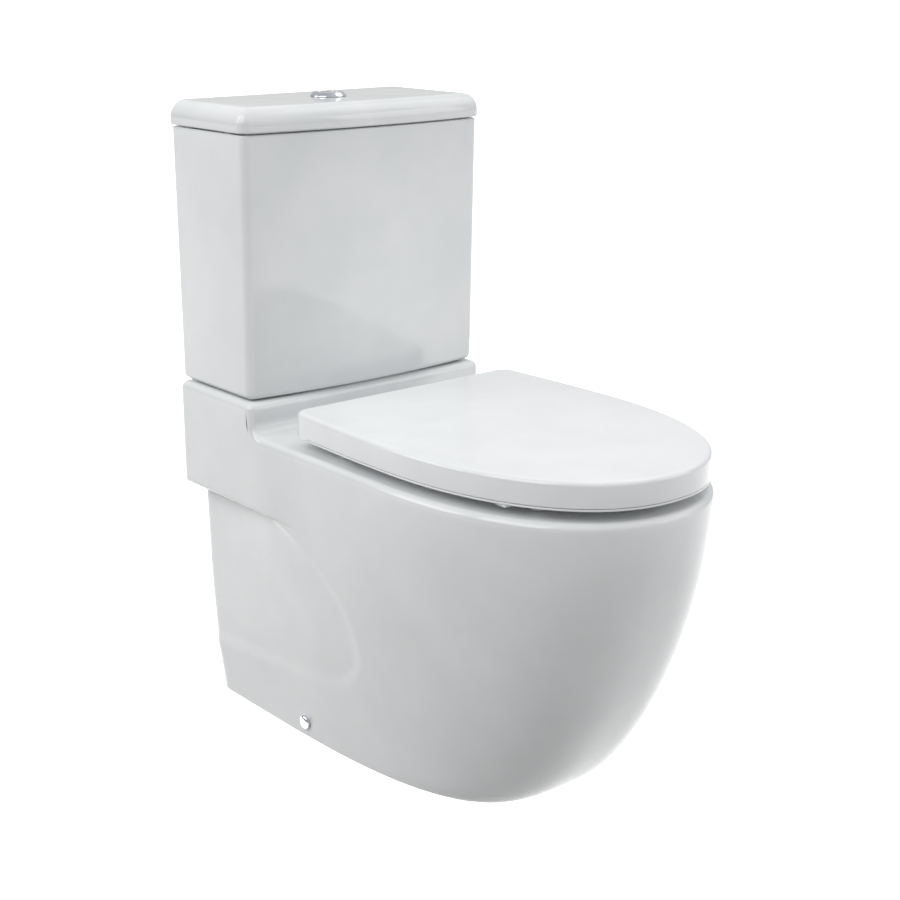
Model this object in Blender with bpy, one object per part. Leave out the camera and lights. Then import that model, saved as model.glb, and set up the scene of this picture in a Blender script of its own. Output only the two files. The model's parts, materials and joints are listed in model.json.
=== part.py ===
"""Close coupled toilet with a back to wall pan, ceramic cistern, dual flush button and hinged seat.

Metres, +Z up. The origin is on the floor below the middle of the overall depth. The wall is the
plane y = +PAN_DEPTH / 2 and the front of the pan faces -Y, so a "reach" is a distance from the wall.
"""

import math

import bmesh
import bpy
from mathutils import Matrix, Vector

# Overall sizes
PAN_DEPTH = 0.7052
RIM_HEIGHT = 0.400
RIM_HALF_WIDTH = 0.1849
CISTERN_HEIGHT = 0.325
CISTERN_HALF_WIDTH = 0.1825
CISTERN_REACH = 0.166

# Gaps between separate pieces
TOUCH = 0.0003
RUNNING_GAP = 0.0006

# Pan, outer surface
FOOT_REACH = 0.5195
FOOT_HALF_WIDTH = 0.1514
FRONT_RISE_POWER = 1.59
FRONT_BULGE_POWER = 0.70
SIDE_BULGE_POWER = 1.60
FOOT_SQUARENESS = 3.31
RIM_SQUARENESS = 2.28
FOOT_STRAIGHT_REACH = 0.086
RIM_STRAIGHT_REACH = 0.413
STRAIGHT_POWER = 0.82
RIM_EDGE_RADIUS = 0.012
SHELF_RISE = 0.040
SHELF_DROP = 0.098
SHELF_MARGIN = 0.0045
SHELF_SETBACK = 0.001
SHELF_BLEND = 0.090
SHELF_EDGE_RADIUS = 0.007
UNDERCUT_STEP = 0.0015
STEP_FILLET = 0.018
PANEL_HALF_WIDTH = 0.1515
PANEL_REACH = 0.400
PANEL_ARC_BASE = 0.100
PANEL_ARC_MARGIN = 0.006
PANEL_FLOOR_LINE = 0.050
PANEL_BLEND = 0.022
REAR_CORNER_RADIUS = 0.014

# Pan, inside
PAN_WALL = 0.012
BOWL_WALL = 0.0108
SHELF_THICKNESS = 0.015
RIM_THICKNESS = 0.040
RIM_SIDE_WIDTH = 0.0729
RIM_FRONT_WIDTH = 0.0502
BOWL_REAR_REACH = 0.305
RIM_LIP = 0.034
RIM_CHANNEL = 0.018
CHANNEL_HEIGHT = 0.030
SUMP_BOTTOM = 0.046
SUMP_REACH = 0.372
SUMP_WIDTH_SHARE = 0.20
SUMP_FRONT_SHARE = 0.10
BOWL_SIDE_POWER = 0.80
BOWL_REAR_POWER = 0.50
BOWL_FRONT_POWER = 1.15
OUTLET_RADIUS = 0.051
OUTLET_WALL = 0.013
OUTLET_HEIGHT = 0.180
OUTLET_REACH = 0.065
WEIR_RISE = 0.024
DUCT_HALF_WIDTH = 0.024
DUCT_WALL = 0.011

# Cistern and lid
CISTERN_SEAM = 0.0025
CISTERN_WALL = 0.009
CISTERN_FLOOR = 0.012
CISTERN_TAPER_SIDE = 0.0008
CISTERN_TAPER_FRONT = 0.008
CISTERN_BOW = 0.012
CISTERN_FRONT_CORNER = 0.012
CISTERN_REAR_CORNER = 0.006
CISTERN_EDGE_RADIUS = 0.008
LID_SEAM = 0.003
LID_HEIGHT = 0.029
LID_OVERHANG = 0.003
LID_EDGE_RADIUS = 0.019
LID_EDGE_DROP = 0.0171
LID_ARRIS = 0.0025
LID_TOP_THICKNESS = 0.012
LID_RIB_DEPTH = 0.008
LID_RIB_WALL = 0.005
LID_RIB_GAP = 0.0025
PAD_WIDTH = 0.015
PAD_INSET = 0.020
PAD_REAR_REACH = 0.030
PAD_FRONT_MARGIN = 0.035
BUMPER_LENGTH = 0.012
BUMPER_INSET = 0.0025
BUMPER_WIDTH = 0.0055

# Flush button
VALVE_OFFSET = 0.0005
BUTTON_RADIUS = 0.0165
BUTTON_GAP = 0.0004
BUTTON_SPLIT = 0.004
BUTTON_THICKNESS = 0.006
BUTTON_RECESS = 0.001
BUTTON_ARRIS = 0.0006
BUTTON_TRAVEL = 0.005
BEZEL_FLANGE = 0.007
BEZEL_HEIGHT = 0.006
BEZEL_WALL = 0.0022
BEZEL_RIM = 0.0014
BEZEL_ARRIS = 0.0012
BEZEL_SLEEVE = 0.042
BUTTON_NUT_HEIGHT = 0.008
BUTTON_NUT_WALL = 0.010
ROD_RADIUS = 0.0025
ROD_OFFSET = 0.0131

# Flush valve
VALVE_TAIL_RADIUS = 0.031
VALVE_TAIL_WALL = 0.006
VALVE_FLANGE_WIDTH = 0.011
VALVE_FLANGE_THICKNESS = 0.006
VALVE_LIP_HEIGHT = 0.004
VALVE_LIP_WIDTH = 0.003
BACKNUT_HEIGHT = 0.0084
BACKNUT_WALL = 0.0065
GASKET_HEIGHT = 0.009
GASKET_WIDTH = 0.0109
WASHER_THICKNESS = 0.002
SEAL_THICKNESS = 0.003
SEAL_OVERLAP = 0.004
CAGE_CLEARANCE = 0.005
CAGE_WALL = 0.003
CAGE_WINDOW = 0.090
CAGE_LEG_HALF_WIDTH = 0.006
CAGE_FOOT_HEIGHT = 0.005
CAGE_FOOT_WIDTH = 0.006
CAGE_TOP_THICKNESS = 0.004
CAGE_HEADROOM = 0.0735
OVERFLOW_RADIUS = 0.009
OVERFLOW_WALL = 0.0018
OVERFLOW_COLLAR = 0.004
OVERFLOW_HEADROOM = 0.0325

# Fill valve
FILL_VALVE_X = 0.125
FILL_SHANK_RADIUS = 0.0100
FILL_SHANK_BELOW_SHELF = 0.030
FILL_FLANGE_WIDTH = 0.006
FILL_FLANGE_THICKNESS = 0.004
FILL_BORE = 0.005
FILL_COLUMN_RADIUS = 0.014
FILL_HEAD_WIDTH = 0.005
FILL_HEAD_HEIGHT = 0.016
FILL_HEADROOM = 0.0675
FLOAT_RADIUS = 0.028
FLOAT_BORE_CLEARANCE = 0.001
FLOAT_HEIGHT = 0.060
FLOAT_DROP = 0.140
LEVER_LENGTH = 0.033
LEVER_HALF_WIDTH = 0.0045
LEVER_HALF_THICKNESS = 0.002
LEVER_RISE = 0.024
LEVER_OFFSET = 0.010
LEVER_PIN_RADIUS = 0.0018
EAR_THICKNESS = 0.0035
EAR_GAP = 0.0015
EAR_HALF_WIDTH = 0.004

# Fixings
WING_CLEARANCE = 0.0056
BOLT_RADIUS = 0.004
BOLT_CLEARANCE = 0.0015
BOLT_HEAD_WIDTH = 0.005
BOLT_HEAD_HEIGHT = 0.005
BOLT_LENGTH_BELOW = 0.030
CONE_WASHER_HEIGHT = 0.005
NUT_WALL = 0.0037
WING_NUT_HEIGHT = 0.010
WING_SPAN = 0.0165
WING_HALF_THICKNESS = 0.0015
SCREW_REACH = 0.2185
SCREW_HEIGHT = 0.0220
SCREW_RADIUS = 0.0025
SCREW_HEAD_HEIGHT = 0.0025
BRACKET_WIDTH = 0.045
BRACKET_HALF_LENGTH = 0.020
BRACKET_THICKNESS = 0.005
UPRIGHT_HALF_LENGTH = 0.014
UPRIGHT_THICKNESS = 0.014
UPRIGHT_TOP = 0.034
FLOOR_SCREW_INSET = 0.030
CAP_RADIUS = 0.009
CAP_HEIGHT = 0.0065
CAP_WALL = 0.002

# Seat hinges
SEAT_FIXING_SPACING = 0.155
HINGE_REACH = 0.250
HINGE_HEIGHT = 0.0295
HINGE_PLATE_RADIUS = 0.016
HINGE_PLATE_THICKNESS = 0.004
NECK_HALF_DEPTH = 0.006
PIN_RADIUS = 0.004
PIN_OVERHANG = 0.003
KNUCKLE_WALL = 0.0045
KNUCKLE_WIDTH = 0.018
LUG_WALL = 0.0036
LUG_WIDTH = 0.014
STUD_BELOW_RIM = 0.026
STUD_IN_NECK = 0.012
STUD_WASHER_HEIGHT = 0.005

# Seat and cover
SEAT_LIFT = 0.013
SEAT_FLANGE = 0.0028
SEAT_THICKNESS = 0.021
SEAT_REAR_GAP = 0.0185
SEAT_REAR_CORNER = 0.010
SEAT_NEST_GAP = 0.0015
SEAT_SIDE_WIDTH = 0.075
SEAT_FRONT_WIDTH = 0.0635
SEAT_BACK_WIDTH = 0.0565
OPENING_SQUARENESS = 2.2
TAB_LENGTH = 0.016
TAB_WIDTH = 0.014
TAB_DROP = 0.0035
TAB_X = -0.140
TAB_REACH = 0.586
COVER_HEIGHT = 0.0465
COVER_WALL = 0.0055
COVER_EDGE_RADIUS = 0.0050
COVER_ARRIS = 0.0008
COVER_FILLET = 0.004
COVER_SIDE_MARGIN = 0.0069
COVER_REAR_NARROWING = 0.007
COVER_FRONT_MARGIN = 0.0017
COVER_WIDEST_REACH = 0.420
COVER_REAR_GAP = 0.016
COVER_SQUARENESS = 2.22
COVER_REAR_CORNER = 0.012
COVER_ARM_HALF_DEPTH = 0.0075
NOTCH_MARGIN = 0.003
BUFFER_RADIUS = 0.009
COVER_BUFFER_RADIUS = 0.006
REAR_BUFFER_X = 0.148
REAR_BUFFER_REACH = 0.315
FRONT_BUFFER_X = 0.105
FRONT_BUFFER_REACH = 0.600
COVER_BUFFER_X = 0.088

# Sizes that follow from the ones above
WALL_Y = PAN_DEPTH / 2
SHELF_HEIGHT = RIM_HEIGHT + SHELF_RISE
SHELF_UNDERSIDE = RIM_HEIGHT - SHELF_DROP
SHELF_HALF_WIDTH = CISTERN_HALF_WIDTH + SHELF_MARGIN
SHELF_REACH = CISTERN_REACH - SHELF_SETBACK
SHELF_BOTTOM = SHELF_HEIGHT - SHELF_THICKNESS
PANEL_ARC_HEIGHT = SHELF_UNDERSIDE + PANEL_ARC_MARGIN - PANEL_ARC_BASE
RIM_UNDERSIDE = RIM_HEIGHT - RIM_THICKNESS - PAN_WALL * 0.4
RIM_LIP_HEIGHT = RIM_HEIGHT - RIM_LIP
CHANNEL_FLOOR = RIM_LIP_HEIGHT - CHANNEL_HEIGHT
BOWL_HALF_WIDTH = RIM_HALF_WIDTH - RIM_SIDE_WIDTH
BOWL_FRONT_REACH = PAN_DEPTH - RIM_FRONT_WIDTH
TRAP_BORE = OUTLET_RADIUS - OUTLET_WALL

CISTERN_BASE = SHELF_HEIGHT + CISTERN_SEAM
CISTERN_TOP = CISTERN_BASE + CISTERN_HEIGHT
CISTERN_INNER_FLOOR = CISTERN_BASE + CISTERN_FLOOR
LID_BASE = CISTERN_TOP + LID_SEAM
LID_TOP = LID_BASE + LID_HEIGHT
LID_CEILING = LID_TOP - LID_TOP_THICKNESS

VALVE_REACH = CISTERN_REACH / 2 + VALVE_OFFSET
SLEEVE_INNER = BUTTON_RADIUS + RUNNING_GAP
SLEEVE_OUTER = SLEEVE_INNER + BEZEL_WALL
BUTTON_FLOOR = LID_TOP + BEZEL_HEIGHT - BUTTON_RECESS - BUTTON_THICKNESS
VALVE_BORE = VALVE_TAIL_RADIUS - VALVE_TAIL_WALL
FLUSH_BORE = VALVE_BORE + 0.002
GASKET_OUTER = VALVE_TAIL_RADIUS + GASKET_WIDTH
GASKET_TOP = CISTERN_BASE - 2 * TOUCH - BACKNUT_HEIGHT
GASKET_BOTTOM = GASKET_TOP - GASKET_HEIGHT
BOLT_SPACING = 2 * (GASKET_OUTER + DUCT_WALL + WING_SPAN + WING_CLEARANCE)
FLANGE_HEIGHT = CISTERN_INNER_FLOOR + WASHER_THICKNESS + 2 * TOUCH
CAGE_TOP = CISTERN_TOP - CAGE_HEADROOM
OVERFLOW_TOP = CISTERN_TOP - OVERFLOW_HEADROOM
FILL_HEAD = CISTERN_TOP - FILL_HEADROOM
FLOAT_BASE = FILL_HEAD - FLOAT_DROP
LEVER_Z = FILL_HEAD + LEVER_RISE
LEVER_X = FILL_VALVE_X + LEVER_OFFSET

HINGE_Z = RIM_HEIGHT + HINGE_HEIGHT
HINGE_PLATE_TOP = RIM_HEIGHT + HINGE_PLATE_THICKNESS
SEAT_BASE = RIM_HEIGHT + SEAT_LIFT
SEAT_TOP = SEAT_BASE + SEAT_THICKNESS
SEAT_REAR_REACH = HINGE_REACH + SEAT_REAR_GAP
COVER_HALF_WIDTH = RIM_HALF_WIDTH - COVER_SIDE_MARGIN
COVER_FRONT_REACH = PAN_DEPTH - COVER_FRONT_MARGIN
COVER_REAR_REACH = HINGE_REACH - COVER_REAR_GAP
COVER_TOP = RIM_HEIGHT + COVER_HEIGHT
COVER_CEILING = COVER_TOP - COVER_WALL
COVER_BASE = SEAT_BASE + SEAT_FLANGE + RUNNING_GAP
OPENING_HALF_WIDTH = COVER_HALF_WIDTH - SEAT_SIDE_WIDTH
OPENING_FRONT = COVER_FRONT_REACH - SEAT_FRONT_WIDTH
OPENING_REAR = SEAT_REAR_REACH + SEAT_BACK_WIDTH
SIDES = (("left", -1), ("right", 1))

# Looks: colour, roughness, metallic
CERAMIC = ((0.86, 0.87, 0.87), 0.08, 0.0)
SEAT_PLASTIC = ((0.90, 0.91, 0.91), 0.15, 0.0)
WHITE_PLASTIC = ((0.82, 0.83, 0.83), 0.35, 0.0)
GREY_PLASTIC = ((0.45, 0.47, 0.50), 0.4, 0.0)
BLUE_PLASTIC = ((0.10, 0.25, 0.55), 0.4, 0.0)
SOFT_WHITE = ((0.80, 0.80, 0.79), 0.6, 0.0)
FOAM = ((0.30, 0.30, 0.30), 0.8, 0.0)
RUBBER = ((0.06, 0.06, 0.06), 0.7, 0.0)
CHROME = ((0.80, 0.81, 0.83), 0.06, 1.0)
STEEL = ((0.60, 0.60, 0.62), 0.3, 1.0)
BRASS = ((0.70, 0.55, 0.28), 0.3, 1.0)


def wall_point(x, reach, z):
    """A point given by its distance from the wall."""
    return (x, WALL_Y - reach, z)


def clear_scene():
    for old in list(bpy.data.objects):
        bpy.data.objects.remove(old, do_unlink=True)


def make_material(name, look):
    colour, roughness, metallic = look
    material = bpy.data.materials.new(name)
    material.use_nodes = True
    shader = material.node_tree.nodes["Principled BSDF"]
    shader.inputs["Base Color"].default_value = (*colour, 1.0)
    shader.inputs["Roughness"].default_value = roughness
    shader.inputs["Metallic"].default_value = metallic
    return material


def add_object(name, points, faces, look):
    """A closed mesh object, its faces turned outwards; a cutter or a joined form has no look."""
    mesh = bpy.data.meshes.new(name)
    mesh.from_pydata([tuple(point) for point in points], [], faces)
    shell = bmesh.new()
    shell.from_mesh(mesh)
    bmesh.ops.recalc_face_normals(shell, faces=shell.faces)
    bmesh.ops.triangulate(shell, faces=shell.faces)
    shell.to_mesh(mesh)
    shell.free()
    mesh.shade_smooth()
    mesh.set_sharp_from_angle(angle=math.radians(35))
    obj = bpy.data.objects.new(name, mesh)
    bpy.context.scene.collection.objects.link(obj)
    if look:
        mesh.materials.append(make_material(name, look))
    return obj


def skin(rings, closed_loop):
    """Points and faces of a surface through rings of equal length; the ends are capped unless looped."""
    count = len(rings[0])
    points = [point for ring in rings for point in ring]
    faces = []
    pairs = len(rings) if closed_loop else len(rings) - 1
    for level in range(pairs):
        below = level * count
        above = ((level + 1) % len(rings)) * count
        for i in range(count):
            j = (i + 1) % count
            faces.append((below + i, below + j, above + j, above + i))
    if not closed_loop:
        faces.append(tuple(range(count - 1, -1, -1)))
        top = (len(rings) - 1) * count
        faces.append(tuple(range(top, top + count)))
    return points, faces


def loft(name, rings, look=None, closed_loop=False):
    points, faces = skin(rings, closed_loop)
    return add_object(name, points, faces, look)


def turned(name, profile, centre, look=None, axis="Z", segments=20):
    """A turned piece: a closed (radius, height) outline, or a solid one that starts and ends on the axis."""
    solid = profile[0][0] == 0.0
    body = profile[1:-1] if solid else profile
    turn = {"Z": Matrix.Identity(4), "X": Matrix.Rotation(math.pi / 2, 4, "Y"),
            "Y": Matrix.Rotation(-math.pi / 2, 4, "X")}[axis]
    place = Matrix.Translation(Vector(centre)) @ turn
    angles = [2 * math.pi * i / segments for i in range(segments)]
    rings = [[place @ Vector((r * math.cos(a), r * math.sin(a), h)) for a in angles] for r, h in body]
    return loft(name, rings, look, closed_loop=not solid)


def disc(name, radius, low, high, centre, look=None, axis="Z", segments=20):
    profile = [(0.0, low), (radius, low), (radius, high), (0.0, high)]
    return turned(name, profile, centre, look, axis, segments)


def ring(name, inner, outer, low, high, centre, look=None, segments=20):
    profile = [(outer, low), (outer, high), (inner, high), (inner, low)]
    return turned(name, profile, centre, look, "Z", segments)


def block(name, low, high, look=None, bevel=0.0):
    """A box between two corners, with its edges rounded by bevel."""
    x0, x1 = sorted((low[0], high[0]))
    y0, y1 = sorted((low[1], high[1]))
    base = [(x0, y0), (x1, y0), (x1, y1), (x0, y1)]
    obj = loft(name, [[(x, y, z) for x, y in base] for z in (low[2], high[2])], look)
    if bevel:
        edge = obj.modifiers.new("edge", "BEVEL")
        edge.width = bevel
        edge.segments = 3
        edge.limit_method = "ANGLE"
    return obj


def combine(target, tool, operation):
    """Cuts with a tool, or joins a form; either is hidden, so that only the target is left."""
    tool.hide_render = True
    tool.display_type = "WIRE"
    change = target.modifiers.new(tool.name, "BOOLEAN")
    change.operation = operation
    change.solver = "EXACT"
    change.object = tool


def join(target, *forms):
    for form in forms:
        combine(target, form, "UNION")


def cut(target, *tools):
    for tool in tools:
        combine(target, tool, "DIFFERENCE")


def smooth_step(value):
    value = max(0.0, min(1.0, value))
    return value * value * (3 - 2 * value)


def quarter(steps, first=0):
    """Angles of a quarter turn in equal steps."""
    return [math.pi / 2 * i / steps for i in range(first, steps + 1)]


# Pan


def pan_level(z):
    """Reach, half width, squareness and straight reach of the pan's outline at height z."""
    t = max(0.0, min(1.0, z / (RIM_HEIGHT - RIM_EDGE_RADIUS)))
    rise = (1 - (1 - t) ** FRONT_RISE_POWER) ** FRONT_BULGE_POWER
    reach = FOOT_REACH + (PAN_DEPTH - FOOT_REACH) * rise
    swell = (1 - (1 - t) ** 2) ** SIDE_BULGE_POWER
    half_width = FOOT_HALF_WIDTH + (RIM_HALF_WIDTH - FOOT_HALF_WIDTH) * swell
    share = t ** STRAIGHT_POWER
    squareness = FOOT_SQUARENESS + (RIM_SQUARENESS - FOOT_SQUARENESS) * share
    straight = FOOT_STRAIGHT_REACH + (RIM_STRAIGHT_REACH - FOOT_STRAIGHT_REACH) * share
    return reach, half_width, squareness, straight


def panel_share(reach, z):
    """1 inside the recessed side panel, 0 outside, with a soft border along its arc and its foot line."""
    if z >= SHELF_UNDERSIDE or reach >= PANEL_REACH:
        return 0.0
    height = max(0.0, (z - PANEL_ARC_BASE) / PANEL_ARC_HEIGHT)
    arc = PANEL_REACH * math.sqrt(max(0.0, 1 - height * height))
    foot_line = PANEL_FLOOR_LINE * (1 + (reach / PANEL_REACH) ** 2)
    behind_arc = smooth_step((arc - reach) / PANEL_BLEND)
    above_foot = smooth_step((z - foot_line) / PANEL_BLEND + 0.5)
    return behind_arc * above_foot


def pan_side(reach, half_width, z):
    """Half width with the shelf's side, the recessed panel and the rear corner taken into account."""
    if z >= SHELF_UNDERSIDE:
        shelf_side = SHELF_HALF_WIDTH - TOUCH
        return shelf_side + (half_width - shelf_side) * smooth_step((reach - SHELF_REACH) / SHELF_BLEND)
    panel = min(half_width, PANEL_HALF_WIDTH)
    side = half_width + (panel - half_width) * panel_share(reach, z)
    into_corner = max(0.0, 1 - reach / REAR_CORNER_RADIUS)
    return side - REAR_CORNER_RADIUS * (1 - math.sqrt(1 - into_corner * into_corner))


def pan_half_width(reach, z):
    """Half width of the pan's plain outline at a reach from the wall."""
    front, half_width, squareness, straight = pan_level(z)
    along = max(0.0, (reach - straight) / (front - straight))
    return half_width * (1 - along ** squareness) ** (1 / squareness)


def pan_outline(z, inset=0.0, rear=0.0, ring_z=None, straight_points=5, curve_points=11):
    """The pan's outline for the shape at height z, drawn at ring_z, from the left rear corner round."""
    reach, half_width, squareness, straight = pan_level(z)
    corner = REAR_CORNER_RADIUS
    reaches = [rear, corner * 0.3]
    reaches += [corner + (straight - corner) * i / straight_points for i in range(straight_points)]
    right = [(pan_side(max(at, 0.0), half_width, z) - inset, at) for at in reaches]
    for i, angle in enumerate(quarter(curve_points)):
        at = straight + (reach - inset - straight) * math.sin(angle) ** (2 / squareness)
        wide = half_width * math.cos(angle) ** (2 / squareness) if i < curve_points else 0.0
        beside_panel = z < SHELF_UNDERSIDE and i < curve_points / 2
        side = pan_side(at, wide, z) if beside_panel else wide
        right.append((max(0.0, side - inset * wide / half_width), at))
    left = [(-x, at) for x, at in reversed(right[:-1])]
    height = z if ring_z is None else ring_z
    return [wall_point(x, at, height) for x, at in reversed(right + left)]


def pan_outer():
    """The outside of the pan: rings up to the shelf's underside, the undercut, and the rounded rim."""
    shares = (0.0, 0.085, 0.165, 0.25, 0.365, 0.50, 0.63, 0.76, 0.885)
    levels = [SHELF_UNDERSIDE * share for share in shares]
    levels += [SHELF_UNDERSIDE - UNDERCUT_STEP, SHELF_UNDERSIDE, (SHELF_UNDERSIDE + RIM_HEIGHT) / 2]
    rings = [pan_outline(z) for z in levels]
    for angle in quarter(3):
        inset = RIM_EDGE_RADIUS * (1 - math.cos(angle))
        rings.append(pan_outline(RIM_HEIGHT - RIM_EDGE_RADIUS * (1 - math.sin(angle)), inset))
    return loft("pan", rings, CERAMIC)


def pan_shelf():
    """The raised block under the cistern and the hollow fillet in front of it."""
    sunk = 0.010
    shelf = block("pan_shelf_form", wall_point(-SHELF_HALF_WIDTH, 0.0, RIM_HEIGHT - 3 * sunk),
                  wall_point(SHELF_HALF_WIDTH, SHELF_REACH, SHELF_HEIGHT), bevel=SHELF_EDGE_RADIUS)
    inside = SHELF_HALF_WIDTH - SHELF_EDGE_RADIUS
    profile = [(SHELF_REACH - sunk, RIM_HEIGHT - sunk), (SHELF_REACH - sunk, RIM_HEIGHT + STEP_FILLET)]
    for angle in quarter(4):
        profile.append((SHELF_REACH + STEP_FILLET * (1 - math.cos(angle)),
                        RIM_HEIGHT + STEP_FILLET * (1 - math.sin(angle)) + TOUCH))
    profile.append((SHELF_REACH + STEP_FILLET, RIM_HEIGHT - sunk))
    rings = [[wall_point(x, reach, z) for reach, z in profile] for x in (-inside, inside)]
    return shelf, loft("pan_step_form", rings)


def oval(half_width, rear, front, z, squareness=2.2, points=26):
    """A squarish oval between two reaches, its widest part nearer the rear than the front."""
    middle = rear + (front - rear) * 0.42
    outline = []
    for i in range(points):
        angle = 2 * math.pi * i / points
        across, along = math.sin(angle), math.cos(angle)
        length = (front - middle) if along > 0 else (middle - rear)
        x = half_width * math.copysign(abs(across) ** (2 / squareness), across)
        reach = middle + length * math.copysign(abs(along) ** (2 / squareness), along)
        outline.append(wall_point(x, reach, z))
    return outline


def bowl_sections():
    """Half width, rear reach, front reach and height of the bowl from the sump up to the rim channel."""
    wide = BOWL_HALF_WIDTH + RIM_CHANNEL
    front = BOWL_FRONT_REACH + RIM_CHANNEL
    rear = BOWL_REAR_REACH - RIM_CHANNEL
    sections = []
    for up in (0.0, 0.05, 0.20, 0.40, 0.60, 0.80, 1.0):
        across = SUMP_WIDTH_SHARE + (1 - SUMP_WIDTH_SHARE) * up ** BOWL_SIDE_POWER
        back = SUMP_WIDTH_SHARE + (1 - SUMP_WIDTH_SHARE) * up ** BOWL_REAR_POWER
        ahead = SUMP_FRONT_SHARE + (1 - SUMP_FRONT_SHARE) * up ** BOWL_FRONT_POWER
        sections.append((wide * across, SUMP_REACH - (SUMP_REACH - rear) * back,
                         SUMP_REACH + (front - SUMP_REACH) * ahead,
                         SUMP_BOTTOM + (CHANNEL_FLOOR - SUMP_BOTTOM) * up))
    return sections


def bowl_shell():
    """The outside of the bowl, one wall thicker than its inside, up into the rim."""
    half_width, rear, front, _ = bowl_sections()[-1]
    sections = bowl_sections() + [(half_width, rear, front, RIM_LIP_HEIGHT + BOWL_WALL / 2)]
    rings = []
    for i, (half_width, rear, front, z) in enumerate(sections):
        drop = BOWL_WALL if i == 0 else BOWL_WALL * 0.4
        rings.append(oval(half_width + BOWL_WALL, rear - BOWL_WALL, front + BOWL_WALL, z - drop))
    return loft("bowl_shell", rings)


def bowl_space():
    """The inside of the bowl with the rim channel, and the narrower way through the rim."""
    half_width, rear, front, _ = bowl_sections()[-1]
    mouth = (BOWL_HALF_WIDTH, BOWL_REAR_REACH, BOWL_FRONT_REACH)
    sections = bowl_sections() + [(half_width, rear, front, RIM_LIP_HEIGHT)]
    sections += [(*mouth, RIM_LIP_HEIGHT + 0.001), (*mouth, RIM_HEIGHT + 0.004)]
    return loft("bowl_space", [oval(*section) for section in sections])


def trap_path():
    """Centre line of the trapway, as (reach, height), from the sump over the weir to the outlet."""
    low = SUMP_BOTTOM + TRAP_BORE - 0.006
    weir = OUTLET_HEIGHT + WEIR_RISE
    rise = weir - low
    run = SUMP_REACH - OUTLET_REACH
    # Shares of the run back from the sump, and of the rise from the sump to the weir
    climb = ((0.013, 0.033), (0.153, -0.017), (0.260, 0.117), (0.358, 0.433), (0.456, 0.783),
             (0.560, 0.950), (0.674, 1.000))
    path = [(SUMP_REACH - run * back, low + rise * up) for back, up in climb]
    path += [(OUTLET_REACH + 2 * OUTLET_WALL + TRAP_BORE, OUTLET_HEIGHT + WEIR_RISE / 3)]
    path += [(OUTLET_REACH + TRAP_BORE, OUTLET_HEIGHT), (OUTLET_REACH, OUTLET_HEIGHT)]
    return path


def tube(name, path, radius, extend=0.0, segments=14):
    """A tube along a path in the plane of symmetry, lengthened past its rear end by extend."""
    path = path[:-1] + [(path[-1][0] - extend, path[-1][1])]
    rings = []
    for i, (reach, height) in enumerate(path):
        before = path[max(0, i - 1)]
        after = path[min(len(path) - 1, i + 1)]
        along = Vector((after[0] - before[0], after[1] - before[1])).normalized()
        across = Vector((-along.y, along.x))
        section = []
        for k in range(segments):
            angle = 2 * math.pi * k / segments
            offset = across * (radius * math.cos(angle))
            section.append(wall_point(radius * math.sin(angle), reach + offset.x, height + offset.y))
        rings.append(section)
    return loft(name, rings)


def pan_hollow():
    """The space between the outer skin and the bowl, open to the floor and the wall."""
    behind = -0.020
    below_step = SHELF_UNDERSIDE - UNDERCUT_STEP
    shapes = [SHELF_UNDERSIDE * share for share in (0.0, 0.165, 0.365, 0.63, 0.83)]
    rings = [pan_outline(z, PAN_WALL, behind) for z in shapes[1:]]
    rings.insert(0, pan_outline(0.0, PAN_WALL, behind, -0.005))
    rings.append(pan_outline(below_step, PAN_WALL, behind, below_step + PAN_WALL * 0.9))
    rings.append(pan_outline(SHELF_UNDERSIDE, PAN_WALL, behind, SHELF_UNDERSIDE + PAN_WALL))
    rings.append(pan_outline(RIM_UNDERSIDE, PAN_WALL, behind))
    inside = SHELF_HALF_WIDTH - PAN_WALL
    upper = block("pan_shelf_hollow", wall_point(-inside, behind, RIM_UNDERSIDE - 0.010),
                  wall_point(inside, SHELF_REACH - PAN_WALL, SHELF_BOTTOM))
    return loft("pan_hollow", rings), upper


def flush_way_forms():
    """Ceramic round the flush water's way from the shelf to the rim channel."""
    centre = wall_point(0.0, VALVE_REACH, 0.0)
    floor = CHANNEL_FLOOR - DUCT_WALL
    wide = DUCT_HALF_WIDTH + DUCT_WALL
    mass = disc("flush_way_mass", GASKET_OUTER + DUCT_WALL, floor, SHELF_HEIGHT - WASHER_THICKNESS,
                centre, segments=28)
    front = BOWL_REAR_REACH - RIM_CHANNEL - 0.003
    duct = block("duct_mass", wall_point(-wide, VALVE_REACH, floor + 0.001),
                 wall_point(wide, front, RIM_HEIGHT - 0.008))
    return mass, duct


def flush_way_bores():
    """The seat of the coupling gasket, the drop below it and the duct to the rim channel."""
    centre = wall_point(0.0, VALVE_REACH, 0.0)
    above = SHELF_HEIGHT + 0.010
    seat = disc("gasket_seat", GASKET_OUTER + RUNNING_GAP, GASKET_BOTTOM - TOUCH, above, centre, segments=24)
    drop = disc("flush_drop", FLUSH_BORE, CHANNEL_FLOOR, above + 0.002, centre)
    front = BOWL_REAR_REACH - RIM_CHANNEL + 0.004
    duct = block("flush_duct", wall_point(-DUCT_HALF_WIDTH, VALVE_REACH, CHANNEL_FLOOR + 0.001),
                 wall_point(DUCT_HALF_WIDTH, front, RIM_LIP_HEIGHT - 0.001))
    return seat, drop, duct


def bolt_hole(name, radius, centre, depth, axis="Z"):
    """A round hole through a wall, depth to each side of its centre."""
    return disc(name, radius + BOLT_CLEARANCE, -depth, depth, centre, axis=axis, segments=12)


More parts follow.
